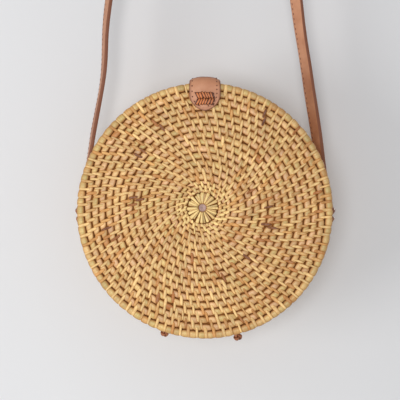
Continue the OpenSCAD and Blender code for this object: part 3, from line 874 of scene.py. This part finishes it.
def sew_gussets():
    """Folded cloth between the halves, on either side."""
    low = math.degrees(math.asin(max(abs(tie.x) for tie in TIES) / TIE_RING)) + 5 - 90
    half_open = math.radians(17.5)
    hinge_drop, mouth_radius, edge_y, cloth = 100, 93.5, 7.8, 0.7
    for name, mirror, seed in (("right", 1, 3), ("left", -1, 4)):
        rng = np.random.RandomState(seed)
        phase = rng.rand(3) * 6.28
        rings = []
        for deg in np.linspace(low, 12, 60):
            turn = math.radians(deg)
            fold = math.sin(half_open) * (hinge_drop + 93.6 * math.sin(turn))
            t = np.linspace(-1, 1, 15)
            soft = 1 - np.abs(t) ** 1.12
            crumple = 0.5 * np.sin(8 * turn + phase[0]) + 0.3 * np.sin(19 * turn + phase[1])
            radius = mouth_radius - fold * soft
            y = edge_y * t + crumple * soft * min(fold / 20, 1) * 0.8
            over = np.stack((radius, y), 1)
            step = unit(np.gradient(over, axis=0))
            below = over - cloth * np.stack((step[:, 1], -step[:, 0]), 1)
            loop = np.concatenate((over, below[::-1]))
            rings.append(np.stack((mirror * loop[:, 0] * math.cos(turn), loop[:, 1],
                                   loop[:, 0] * math.sin(turn) - strap("hang")), 1))
        bag = Rings()
        bag.add(np.array(rings))
        piece = bag.build(f"gusset_{name}_cloth", [finish_of("cloth")])
        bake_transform(piece)
        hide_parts(f"gusset_{name}")


def plate(stations, half_width, thick, bevel, across=13, groove=0.0, crease=0.0):
    """A leather piece laid flat: how far across, along and up each point of its rings is, and how
    near it is to the cut edge."""
    u = np.sin(np.linspace(-1, 1, across) * math.pi / 2)
    w = half_width(stations)
    outline = np.concatenate((np.stack((w, stations), 1), np.stack((-w, stations), 1)))
    a = w[:, None] * u
    away = np.empty(a.shape)
    for i in range(len(stations)):
        close = outline[np.abs(outline[:, 1] - stations[i]) < 8]
        away[i] = np.hypot(a[i][:, None] - close[None, :, 0],
                           stations[i] - close[None, :, 1]).min(1)
    share = (away / bevel).clip(0, 1)
    up = thick / 2 * (0.72 + 0.28 * np.sqrt(1 - (1 - share) ** 2))
    edge = (1 - away / (bevel * 1.1)).clip(0, 1)
    if crease:
        pressed = np.exp(-((away - crease) / 0.35) ** 2)
        up = up - 0.22 * pressed
        edge = edge + 0.45 * pressed
    seam_a = a[:, [-1, 0]] * (1 - groove / np.maximum(np.abs(a[:, [-1, 0]]), 1))
    parts_a = (a, seam_a[:, :1], a[:, ::-1], seam_a[:, 1:])
    parts_b = (up, 0 * seam_a[:, :1], -up[:, ::-1], 0 * seam_a[:, :1])
    parts_e = (edge, 1 + 0 * seam_a[:, :1], edge[:, ::-1], 1 + 0 * seam_a[:, :1])
    across_all, up_all, edge_all = (np.concatenate(p, 1) for p in (parts_a, parts_b, parts_e))
    return across_all, np.broadcast_to(stations[:, None], across_all.shape), up_all, edge_all


def ribbon(points, sideways, outward, half_width, thick):
    """Rings of a flat thong along points, with rounded edges."""
    section = np.array([[-1, 0], [-0.86, 0.75], [-0.45, 1], [0.45, 1], [0.86, 0.75], [1, 0],
                        [0.8, -0.85], [-0.8, -0.85]])
    points = np.asarray(points, float)
    sideways = np.broadcast_to(np.asarray(sideways, float), points.shape)
    outward = np.broadcast_to(np.asarray(outward, float), points.shape)
    half_width = np.broadcast_to(np.asarray(half_width, float), len(points))
    thick = np.broadcast_to(np.asarray(thick, float), len(points))
    return (points[:, None] + sideways[:, None] * (section[None, :, :1] * half_width[:, None, None])
            + outward[:, None] * (section[None, :, 1:] * thick[:, None, None] / 2))


def sew_stitch(bag, centre, ahead, above, reach, radius):
    """One stitch of thread, which dips into the leather at both ends. It points at the place ahead
    of its middle and lies on the face that the place above stands over."""
    t = np.array([-1, -0.85, -0.4, 0, 0.4, 0.85, 1])
    along, outward = unit(ahead - centre), unit(above - centre)
    sideways = np.cross(along, outward)
    sink = (np.abs(t) ** 3)[:, None] * outward * radius * 1.3
    points = centre + along * (t * reach / 2)[:, None] - sink
    bag.add(ribbon(points, sideways, outward, radius * (1 - 0.5 * t ** 4), 2 * radius), slot=1)


def tab_bend(across, along, up):
    """Carries the flat tab over the top of the bag, from its lower end to its free one."""
    thick, low, front = tab("thickness"), tab("low"), tab("front")
    centre_y, centre_z = -front + tab("bend_radius"), tab("bend_height")
    mid = tab("bend_radius") + thick / 2
    straight = centre_z - low
    quarter = mid * math.pi / 2
    turn = ((along - straight) / quarter).clip(0, 1) * math.pi / 2
    on_front = along < straight
    on_top = along > straight + quarter
    crown = tab("arch") * np.abs(across / (tab("width") / 2)) ** 2.8 * np.sin(turn) ** 0.8
    crown = crown * (1 - 0.6 * ((along - straight - quarter) / tab("flap_length")).clip(0, 1))
    radius = mid + up - crown
    y = centre_y - radius * np.cos(turn) + np.where(on_top, along - straight - quarter, 0)
    z = np.where(on_front, low + along, centre_z) + radius * np.sin(turn)
    y = np.where(on_front, -front - thick / 2 - up, y)
    return np.stack((across, y, z - strap("hang")), -1)


def cut_tab():
    """The tab: plate laced to the front, bend, and free end over the seam."""
    width, thick = tab("width"), tab("thickness")
    straight = tab("bend_height") - tab("low")
    quarter = (tab("bend_radius") + thick / 2) * math.pi / 2
    total = straight + quarter + tab("flap_length")
    end = width / 2

    def half_width(s):
        lower = end * np.clip(1 - (1 - (s / tab("end_height")).clip(0, 1)) ** 2.2, 0, 1) ** 0.66
        upper = end * np.sqrt(np.clip(1 - (1 - ((total - s) / end).clip(0, 1)) ** 2, 0, 1))
        waist = 1 - 0.03 * np.exp(-((s - straight - quarter) / 6) ** 2) - 0.02 * (
            1 - s / straight).clip(0, 1) ** 1.5
        return np.maximum(np.minimum(lower, upper) * waist, 0.05)

    ease = (1 - np.cos(np.linspace(0, math.pi / 2, 14))) * end
    stations = np.concatenate((ease, np.linspace(end, total - end, 60), total - ease))
    stations = np.unique(stations.round(3))
    across, along, up, edge = plate(stations, half_width, thick, 1.2, 25, 0.12, 1.9)
    fold = np.exp(-((along - straight - quarter * 0.78) / 0.5) ** 2)
    edge = edge + 1.5 * fold * (up > 0)
    bag = Rings()
    bag.add(tab_bend(across, along, up), np.stack((along, across), 2), edge)
    fine = np.linspace(0.4, total - 0.4, 1600)
    edge_line = np.stack((half_width(fine), fine), 1)
    step = unit(np.gradient(edge_line, axis=0))
    # Each side's row of stitches: its inset from the cut edge, its start and its pitch
    for hand, inset, start, pitch in ((1, 2.9, 1.5, 3.1), (-1, 2.2, 2.0, 4.2)):
        seam = edge_line + inset * np.stack((-step[:, 1], step[:, 0]), 1)
        line = seam[(seam[:, 0] > 0.3) & (seam[:, 1] > 3.2)] * (hand, 1)
        run = distance_along(line)
        for at in np.arange(start, run[-1], pitch):
            place = [np.interp(at + ahead, run, line[:, i]) for ahead in (0, 0.05) for i in (0, 1)]
            spots = [tab_bend(place[2 * i], place[2 * i + 1], thick / 2 + lift)
                     for i, lift in ((0, 0.05), (1, 0.05), (0, 1.05))]
            sew_stitch(bag, *spots, 1.25, 0.44)
    piece = bag.build("tab_leather", [finish_of("leather"), finish_of("thread")])
    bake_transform(piece)
    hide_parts("tab_anchor", "tab_flap")


def lace_tab():
    """Thong laced through tab and disc in two slanting rows that meet in chevrons."""
    rng = np.random.RandomState(31)
    bag = Rings()
    count_of = tab("chevrons")
    front = -tab("front") - tab("thickness")
    lacing_height, lacing_width = 87.2, 12.6
    middle_z = lacing_height - strap("hang")
    pitch, rise, lean = lacing_width / count_of, 4.9, 2.4
    # An under layer of strokes in the thong's shade colour, painted shade in the gaps between the
    # strokes
    for k in range(2 * count_of + 1):
        x = (k - count_of) * pitch / 2 - lean / 2
        for row in (1, -1):
            points = [(x + lean * t, front + 0.1 - 0.5 * math.sin(math.pi * t),
                       middle_z + row * rise * (1 - t)) for t in (0.02, 0.25, 0.5, 0.75, 0.98)]
            bag.add(ribbon(points, (1, 0, 0), (0, -1, 0), 0.75, 0.7), edge=1.2)
    for k in range(count_of):
        x = (k - (count_of - 1) / 2) * pitch - lean / 2
        for row in (1, -1):
            t = np.linspace(0, 1, 9)
            start = np.array([x + 0.25 * rng.randn(), row * rise + 0.4 * rng.randn()])
            stop = np.array([x + lean + 0.25 * rng.randn(), -row * 0.2 + 0.2 * rng.randn()])
            flat = start + (stop - start) * t[:, None]
            arch = 1.25 * np.sqrt(np.clip(1 - (2 * t - 1) ** 2, 0, 1)) - 0.35
            arch += 0.2 * t * (row > 0)
            points = np.stack((flat[:, 0], front - arch, middle_z + flat[:, 1]), 1)
            step = unit((points[-1] - points[0]) * (1, 0, 1))
            sideways = np.array([step[2], 0, -step[0]])
            rings = ribbon(points, sideways, (0, -1, 0),
                           (0.78 + 0.1 * rng.randn()) * (0.7 + 0.3 * np.sin(math.pi * t)), 1.3)
            # Painted shade on each stroke's sides, underside and ends
            edge = np.zeros(rings.shape[:2])
            edge[:, [0, 5, 6, 7]] = 0.8
            edge[[0, -1]] = 1.2
            bag.add(rings, None, edge)
    # The thong's two tucked ends
    for x, z, turn in ((6.0, 3.4, 0.7), (6.1, -4.6, -0.3)):
        ahead = np.array([math.cos(turn), 0, math.sin(turn)])
        middle = np.array([x, front - 0.5, middle_z + z])
        points = [middle + ahead * s + (0, d, 0) for s, d in ((-1.2, 0.8), (-0.7, -0.2), (0, -0.5),
                                                              (0.7, -0.2), (1.1, 0.8))]
        bag.add(ribbon(points, (-ahead[2], 0, ahead[0]), (0, -1, 0), 0.8, 0.9), edge=1.3)
    piece = bag.build("tab_lacing_thong", [finish_of("thong")])
    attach(piece, "front_half")
    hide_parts("tab_lacing")


# Places up a run from its swing line, how far it bows outward there, and its twist in degrees
LEFT_RUN = ((0, 0, 0), (20, -1.1, 6), (34, -1.7, 11), (50, -1.7, 13.5), (67, -2.5, 12.5),
            (82, -3.2, 11), (95, -3.3, 13), (104, -2.8, 15.5), (113, -1.9, 16.5), (122, -0.8, 17),
            (131, 0.2, 18), (141, 0.9, 20), (156, 1.4, 22.5), (290, 1.2, 27), (480, 0.6, 14),
            (560, 0, 0), (620, 0, 0))
RIGHT_RUN = ((0, 0, 0), (8, -0.3, -6), (27, -1.6, -25), (50, -1.5, -31.5), (77, -1.9, -34),
             (100, -2.0, -32), (122, -2.2, -31), (141, -2.4, -36), (157, -2.0, -40.5),
             (290, -1.4, -46), (480, -0.5, -26), (560, 0, 0), (620, 0, 0))


def strap_line():
    """Middle, sideways and outward directions along the strap, from the right end to the left."""
    mid, hang, offset = strap("mid_radius"), strap("hang"), strap("offset")
    crown = strap("peg_radius") + strap("thickness") / 2
    slope = math.asin((mid - crown) / hang)
    start = np.array([mid * math.cos(slope), offset, mid * math.sin(slope) - hang])
    stop = np.array([crown * math.cos(slope), 0, crown * math.sin(slope)])
    run = np.linalg.norm((stop - start) * (1, 0, 1))

    def half(table):
        at, bows, twists = zip(*table)
        middle, side, out = [], [], []
        near = np.linspace(-6, 6, 7)
        for a in np.radians(np.linspace(-12.5, math.degrees(slope), 14))[:-1]:
            middle.append((mid * math.cos(a), offset, mid * math.sin(a) - hang))
            side.append((0, 1, 0))
            out.append((math.cos(a), 0, math.sin(a)))
        for s in np.linspace(0, run, 190)[:-1]:
            spots = (s + near).clip(0, run)
            twist = math.radians(np.interp(spots, at, twists).mean())
            point = start + (stop - start) * s / run
            point[0] += np.interp(spots, at, bows).mean()
            middle.append(tuple(point))
            side.append((math.sin(twist) * math.cos(slope), math.cos(twist),
                         math.sin(twist) * math.sin(slope)))
            out.append((math.cos(twist) * math.cos(slope), -math.sin(twist),
                        math.cos(twist) * math.sin(slope)))
        for a in np.linspace(slope, math.pi / 2, 12):
            middle.append((crown * math.cos(a), 0, crown * math.sin(a)))
            side.append((0, 1, 0))
            out.append((math.cos(a), 0, math.sin(a)))
        return np.array(middle), np.array(side), np.array(out)

    mirror = np.array([-1, 1, 1])
    return [np.concatenate((right, (left * mirror)[::-1][1:]))
            for right, left in zip(half(RIGHT_RUN), half(LEFT_RUN))]


def cut_strap():
    """The strap in one piece, with a row of stitches along its back edge on either face."""
    middle, side, out = strap_line()
    run = distance_along(middle)
    total, half_w, thick = run[-1], strap("width") / 2, strap("thickness")

    def half_width(s):
        near = np.minimum(s, total - s) / half_w
        return np.maximum(half_w * np.sqrt(np.clip(1 - (1 - near.clip(0, 1)) ** 2, 0, 1)), 0.05)

    ease = (1 - np.cos(np.linspace(0, math.pi / 2, 10))) * half_w
    stations = np.concatenate((ease, np.linspace(half_w, total - half_w, 420), total - ease))
    stations = np.unique(stations.round(3))
    across, along, up, edge = plate(stations, half_width, thick, 0.6, 13, 0.15)
    wander = 0.12 * np.sin(along / 31.0) * np.sin(along / 7.3 + 1)

    def carried(a, s, b):
        spots = [np.stack([np.interp(s, run, line[:, i]) for i in range(3)], -1)
                 for line in (middle, side, out)]
        return spots[0] + spots[1] * np.asarray(a)[..., None] + spots[2] * np.asarray(b)[..., None]

    bag = Rings()
    bag.add(carried(across + wander, along, up), np.stack((along, across), 2), edge)
    seam, spare = half_w - 2.1, 5
    for at in np.arange(spare, total - spare, strap("stitch_pitch")):
        for face in (1, -1):
            spots = [carried(seam, at + ahead, face * (thick / 2 + lift))
                     for ahead, lift in ((0, -0.06), (0.5, -0.06), (0, 0.94))]
            sew_stitch(bag, *spots, 2.3, 0.36)
    piece = bag.build("strap_leather", [finish_of("leather"), finish_of("thread")])
    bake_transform(piece)
    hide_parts("strap_crown", "strap_left_run", "strap_right_run", "strap_left_end",
                "strap_right_end")


def lace_strap():
    """Two thong wraps over each laced end of the strap."""
    hang, offset = strap("hang"), strap("offset")
    outer = strap("mid_radius") + strap("thickness") / 2
    # Each wrap's height over the bag's middle, how far it stands out, and its seed
    wraps = ((-0.2, 4.4, 5), (-6.9, 3.6, 6))
    for name, mirror in (("right", 1), ("left", -1)):
        bag = Rings()
        for z, reach, seed in wraps:
            rng = np.random.RandomState(seed)
            for strand in (-1, 1, 0):
                t = np.linspace(-1, 1, 19)
                top = outer + reach - (0.8 if strand == 0 else 2.1) - 1.1 * (mirror < 0)
                x = top - (top - outer - 0.9) * np.abs(t) ** 2.4
                x -= 8.5 * (np.abs(t) - 0.86).clip(0, 1) / 0.14
                y = offset + 7.2 * t / 0.9 * np.where(np.abs(t) > 0.9, 0.9 / np.abs(t), 1)
                zz = z + strand * 1.75 + 0.5 * np.sin(2.2 * t + rng.rand())
                points = np.stack((mirror * x, y, zz - hang), 1)
                outward = -np.cross(np.array([0, 0, 1.0]), unit(np.gradient(points, axis=0)))
                flip = np.sign((outward * (mirror, 0, 0)).sum(1)[9])
                sideways = unit(np.array([-mirror * 0.62 * strand, 0, 1.0]))
                outward = outward * flip + np.array([0, 0, 0.5 * strand])
                # Painted shade on each strand's sides and underside
                bag.add(ribbon(points, sideways, outward, 1.25, 1.5),
                        edge=np.array([0.9, 0.3, 0, 0, 0.3, 0.9, 1.3, 1.3]))
        piece = bag.build(f"strap_{name}_lacing_thong", [finish_of("wrapping")])
        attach(piece, "back_half")
        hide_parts(f"strap_{name}_lacing")


def tie_frame(x):
    """A tie's own frame at the bottom of the bag: its place, along the seam, and outward."""
    lean = math.asin(x / TIE_RING)
    outward = np.array([math.sin(lean), 0, -math.cos(lean)])
    along = np.array([math.cos(lean), 0, math.sin(lean)])
    return TIE_RING * outward + (0, 0, -strap("hang")), along, outward


def knot_points(centre, along, outward, size):
    """An overhand knot, which hangs as a trefoil in the plane of the hoops."""
    t = np.linspace(0, 2 * math.pi, 60, endpoint=False)
    flat = np.stack((np.sin(t) + 2 * np.sin(2 * t), np.cos(t) - 2 * np.cos(2 * t),
                     -np.sin(3 * t)), 1)
    flat = flat / 3 * size
    return (centre + flat[:, :1] * along + flat[:, 1:2] * outward * 0.92
            + flat[:, 2:] * np.array([0, 1.0, 0]) * 1.3)


def tie_hinges():
    """A thong round both mouth hoops at each tie, and its knot."""
    for tie in TIES:
        rng = np.random.RandomState(tie.seed)
        origin, along, outward = tie_frame(tie.x)
        bag = Rings()
        for strand in (-1.15, 1.15):
            turn = np.linspace(0, 2 * math.pi, 48, endpoint=False)
            y = (MOUTH.height * np.sign(np.cos(turn)) * np.abs(np.cos(turn)) ** 0.6
                 + TIE_RADIUS * np.cos(turn))
            up = TIE_RADIUS * np.sin(turn)
            points = origin + up[:, None] * outward + y[:, None] * np.array([0, 1.0, 0])
            points = points + along * (strand + 0.35 * np.sin(turn + rng.rand()))[:, None]
            normal = np.cos(turn)[:, None] * (0, 1, 0) + np.sin(turn)[:, None] * outward
            # Painted shade on the thong's sides and underside
            edge = np.array([0.8, 0.2, 0, 0, 0.2, 0.8, 1, 1])
            bag.add(ribbon(points, along, normal, 1.15, 1.2), None, edge, loop=True)
        piece = bag.build(f"hinge_tie_{tie.name}_thong", [finish_of("wrapping")])
        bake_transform(piece)
        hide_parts(f"hinge_tie_{tie.name}_front", f"hinge_tie_{tie.name}_back")
        tie_knot(tie, origin, along, outward)


def tie_knot(tie, origin, along, outward):
    """The knot under a tie, and the short piece of thong that it hangs from."""
    bag = Rings()
    centre = origin + outward * tie.knot_drop + np.array([0, TIE_RADIUS, 0])
    centre = centre + along * tie.knot_shift
    points = knot_points(centre, along, outward, tie.knot_size)
    step = unit(np.roll(points, -1, 0) - np.roll(points, 1, 0))
    away = points - centre
    away -= (away * step).sum(1)[:, None] * step
    away = unit(away)
    # Painted shade on the knot's sides and underside
    edge = np.array([0.5, 0.1, 0, 0, 0.1, 0.5, 1, 1])
    bag.add(ribbon(points, np.cross(step, away), away, 1.6, 2.1), None, edge, loop=True)
    # The piece it hangs from is all in the thong's shade colour, painted shade between knot and
    # hoop
    core = [centre + outward * (5.2 * t - 6.4) + (0, 0.4 * math.sin(5 * t), 0)
            for t in np.linspace(0, 1, 9)]
    bag.add(ribbon(core, along, (0, -1, 0), 1.9, 2.6), edge=1.3)
    piece = bag.build(f"hinge_tie_{tie.name}_knot", [finish_of("wrapping")])
    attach(piece, "back_half")


def turned(profile, centre, segments=48):
    """Rings of a profile of radius and height, revolved about an upright line through a centre."""
    turns = np.arange(segments) * 2 * math.pi / segments
    return np.array([[(centre.x / MM + r * math.cos(a), centre.y / MM + r * math.sin(a), h)
                      for r, h in profile] for a in turns])


def set_snaps():
    """Both halves of the magnetic snap."""
    seat, post_low, post_high = (r - strap("hang") for r in (99.4, 95.0, 99.5))
    for node, body in (("tab_snap", "flap"), ("wall_snap", "back_half")):
        low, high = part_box(node)
        centre = (low + high) / 2
        radius = (high.x - low.x) / 2 / MM
        bag = Rings()
        if node == "tab_snap":
            outer, rest = low.z / MM, high.z / MM
            inner = outer + 0.25
        else:
            outer, rest = high.z / MM, seat
            inner = outer - 0.25
        profile = [(0.05, rest), (radius - 0.15, rest), (radius, (rest + outer) / 2),
                   (radius - 0.1, outer + (rest - outer) * 0.15), (radius - 0.6, outer),
                   (radius - 1.4, outer), (radius - 1.8, inner), (2.4, inner), (2.1, outer),
                   (1.2, outer + (inner - outer) * 0.2), (0.05, outer + (inner - outer) * 0.3)]
        bag.add(turned(profile, centre), loop=True)
        if node == "wall_snap":
            post = [(0.05, post_low), (2.0, post_low), (2.0, post_high), (0.05, post_high)]
            bag.add(turned(post, centre), loop=True)
        piece = bag.build(f"{node}_metal", [finish_of("metal")])
        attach(piece, body)
        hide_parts(node)


def plane(name, corners, material):
    """One face of the backdrop."""
    mesh = bpy.data.meshes.new(name)
    mesh.from_pydata(corners, [], [list(range(len(corners)))])
    mesh.materials.append(material)
    made = bpy.data.objects.new(name, mesh)
    bpy.context.scene.collection.objects.link(made)
    return made


def stage_material(name, shade, grain, seen_from_behind):
    """Matt paint. A wall that isn't seen from behind is clear there, and painted shade darkens it
    to the right.
    """
    n = Nodes(name)
    speckle = n.noise(n.place(), grain, 3)
    base = n.mix(n.between(speckle, 0.3, 0.7, 0, 0.06), shade, (0.6, 0.6, 0.6, 1))
    if not seen_from_behind:
        # Painted shade: the wall darkens towards the right and the top
        across = n.node("ShaderNodeVectorMath")
        across.operation = "DOT_PRODUCT"
        n.put(across.inputs[0], n.place())
        n.put(across.inputs[1], (0.9, 0, 0.25))
        base = n.mix(n.between(across.outputs["Value"], -0.3, 0.0, 0, 0.22), base,
                     (0.42, 0.42, 0.43, 1))
    material = n.finish(base, 0.95, speckle, 0.05, Specular_IOR_Level=0.1)
    if not seen_from_behind:
        clear = n.node("ShaderNodeBsdfTransparent")
        back = n.tree.nodes.new("ShaderNodeNewGeometry").outputs["Backfacing"]
        both = n.node("ShaderNodeMixShader")
        n.put(both.inputs[0], back)
        n.put(both.inputs[1], n.shader.outputs[0])
        n.put(both.inputs[2], clear.outputs[0])
        out = next(x for x in n.tree.nodes if x.type == "OUTPUT_MATERIAL")
        n.put(out.inputs[0], both.outputs[0])
    return material


def area_light(name, place, size, power):
    """A warm round lamp that faces the bag and isn't seen itself."""
    data = bpy.data.lights.new(name, "AREA")
    data.shape, data.size, data.energy, data.color = "DISK", size, power, (1.0, 0.985, 0.965)
    lamp = bpy.data.objects.new(name, data)
    bpy.context.scene.collection.objects.link(lamp)
    lamp.location = place
    lamp.visible_camera = False
    aim = Vector((0, 0, -strap("hang") * MM)) - Vector(place)
    lamp.rotation_euler = aim.to_track_quat("-Z", "Y").to_euler()


def set_stage():
    """Wall, floor, world, lamps and the camera of the photo."""
    stage = bpy.context.scene.bag_stage
    scene = bpy.context.scene
    hang = strap("hang") * MM
    wall_y, wall_top, floor_z, far = 0.062, 2.5, -2.4, 3
    light_strength, backdrop_strength = 0.507, 0.9
    # The plane of the rim's front, and where the camera stands from the middle of the bag
    rim_front, camera_right, camera_up = 0.0369, -0.0038, 0.0083
    wall = plane("stage_wall", [(-far, wall_y, floor_z), (far, wall_y, floor_z),
                                (far, wall_y, wall_top), (-far, wall_y, wall_top)],
                 stage_material("Painted wall", paint("bag_stage", "wall"), 3, False))
    for ray in ("diffuse", "glossy", "transmission", "volume_scatter", "shadow"):
        setattr(wall, f"visible_{ray}", False)
    floor = plane("stage_floor", [(-far, -far, floor_z), (far, -far, floor_z),
                                  (far, far, floor_z), (-far, far, floor_z)],
                  stage_material("Pale floor", paint("bag_stage", "floor"), 4, True))
    floor.visible_camera = False

    world = bpy.data.worlds.new("Studio")
    world.use_nodes = True
    tree = world.node_tree
    background = next(n for n in tree.nodes if n.type == "BACKGROUND")
    path = tree.nodes.new("ShaderNodeLightPath")
    seen = tree.nodes.new("ShaderNodeMix")
    seen.data_type = "FLOAT"
    shown = tree.nodes.new("ShaderNodeMath")
    shown.operation = "MAXIMUM"
    tree.links.new(path.outputs["Is Camera Ray"], shown.inputs[0])
    tree.links.new(path.outputs["Is Glossy Ray"], shown.inputs[1])
    tree.links.new(shown.outputs[0], seen.inputs[0])
    for socket, strength in zip(seen.inputs[2:4], (light_strength, backdrop_strength)):
        socket.default_value = strength
    tree.links.new(seen.outputs[0], background.inputs["Strength"])
    background.inputs["Color"].default_value = lin(244, 246, 250) + (1,)
    scene.world = world

    area_light("Key", (-0.2, -2.3, -0.64), 0.8, 23.4)
    area_light("Window", (-2.1, -1.7, -1.0), 1.4, 23.4)
    area_light("Fill", (0.15, 2.8, 0.1), 1.4, 30)

    camera = bpy.data.cameras.new("Camera")
    camera.sensor_width = 36
    # The photo's 400 pixels at 0.781 mm each, in the plane of the rim's front
    picture = 400 * 0.000781
    camera.lens = camera.sensor_width * stage.distance / picture
    eye = bpy.data.objects.new("Camera", camera)
    scene.collection.objects.link(eye)
    eye.location = (camera_right, -rim_front - stage.distance, camera_up - hang)
    eye.rotation_euler = (math.radians(90), 0, 0)
    scene.camera = eye
    scene.view_settings.view_transform = "Standard"


class BAG_OT_weave_shells(bpy.types.Operator):
    """Weave the discs, walls and hoops of both halves"""

    bl_idname = "cane_bag.weave_shells"
    bl_label = "Weave the shells"

    def execute(self, context):
        weave_shells()
        return {"FINISHED"}


class BAG_OT_lace_rosettes(bpy.types.Operator):
    """Lay the spokes round the eye of each disc"""

    bl_idname = "cane_bag.lace_rosettes"
    bl_label = "Lay the rosettes"

    def execute(self, context):
        lace_rosettes()
        return {"FINISHED"}


class BAG_OT_sew_linings(bpy.types.Operator):
    """Line both halves with cotton"""

    bl_idname = "cane_bag.sew_linings"
    bl_label = "Sew the linings"

    def execute(self, context):
        sew_linings()
        return {"FINISHED"}


class BAG_OT_sew_gussets(bpy.types.Operator):
    """Fold the cloth gussets between the halves"""

    bl_idname = "cane_bag.sew_gussets"
    bl_label = "Sew the gussets"

    def execute(self, context):
        sew_gussets()
        return {"FINISHED"}


class BAG_OT_cut_tab(bpy.types.Operator):
    """Cut and stitch the closing tab"""

    bl_idname = "cane_bag.cut_tab"
    bl_label = "Cut the tab"

    def execute(self, context):
        cut_tab()
        return {"FINISHED"}


class BAG_OT_lace_tab(bpy.types.Operator):
    """Lace the tab to the front disc"""

    bl_idname = "cane_bag.lace_tab"
    bl_label = "Lace the tab"

    def execute(self, context):
        lace_tab()
        return {"FINISHED"}


class BAG_OT_cut_strap(bpy.types.Operator):
    """Cut, twist and stitch the shoulder strap"""

    bl_idname = "cane_bag.cut_strap"
    bl_label = "Cut the strap"

    def execute(self, context):
        cut_strap()
        return {"FINISHED"}


class BAG_OT_lace_strap(bpy.types.Operator):
    """Lace the strap's ends to the back half"""

    bl_idname = "cane_bag.lace_strap"
    bl_label = "Lace the strap"

    def execute(self, context):
        lace_strap()
        return {"FINISHED"}


class BAG_OT_tie_hinges(bpy.types.Operator):
    """Tie the halves together at the bottom"""

    bl_idname = "cane_bag.tie_hinges"
    bl_label = "Tie the hinges"

    def execute(self, context):
        tie_hinges()
        return {"FINISHED"}


class BAG_OT_set_snaps(bpy.types.Operator):
    """Set both halves of the magnetic snap"""

    bl_idname = "cane_bag.set_snaps"
    bl_label = "Set the snap"

    def execute(self, context):
        set_snaps()
        return {"FINISHED"}


class BAG_OT_set_stage(bpy.types.Operator):
    """Put up the wall, floor, lamps and camera"""

    bl_idname = "cane_bag.set_stage"
    bl_label = "Set the stage"

    def execute(self, context):
        set_stage()
        return {"FINISHED"}


STEPS = (BAG_OT_weave_shells, BAG_OT_lace_rosettes, BAG_OT_sew_linings, BAG_OT_sew_gussets,
         BAG_OT_cut_tab, BAG_OT_lace_tab, BAG_OT_cut_strap, BAG_OT_lace_strap, BAG_OT_tie_hinges,
         BAG_OT_set_snaps, BAG_OT_set_stage)


class BAG_PT_making(bpy.types.Panel):
    """Lists the steps of making the bag"""

    bl_idname = "BAG_PT_making"
    bl_label = "Round cane bag"
    bl_space_type = "VIEW_3D"
    bl_region_type = "UI"
    bl_category = "Cane bag"

    def draw(self, context):
        for step in STEPS:
            self.layout.operator(step.bl_idname)
        for group, kind in GROUPS.items():
            box = self.layout.box()
            box.label(text=kind.__doc__)
            for name in kind.__annotations__:
                box.prop(getattr(context.scene, group), name)


CLASSES = tuple(GROUPS.values()) + STEPS + (BAG_PT_making,)


def register():
    for cls in CLASSES:
        bpy.utils.register_class(cls)
    for group, kind in GROUPS.items():
        setattr(bpy.types.Scene, group, bpy.props.PointerProperty(type=kind))


def unregister():
    for group in GROUPS:
        delattr(bpy.types.Scene, group)
    for cls in reversed(CLASSES):
        bpy.utils.unregister_class(cls)


def main():
    register()
    for step in STEPS:
        family, name = step.bl_idname.split(".")
        getattr(getattr(bpy.ops, family), name)()


if __name__ == "__main__":
    main()
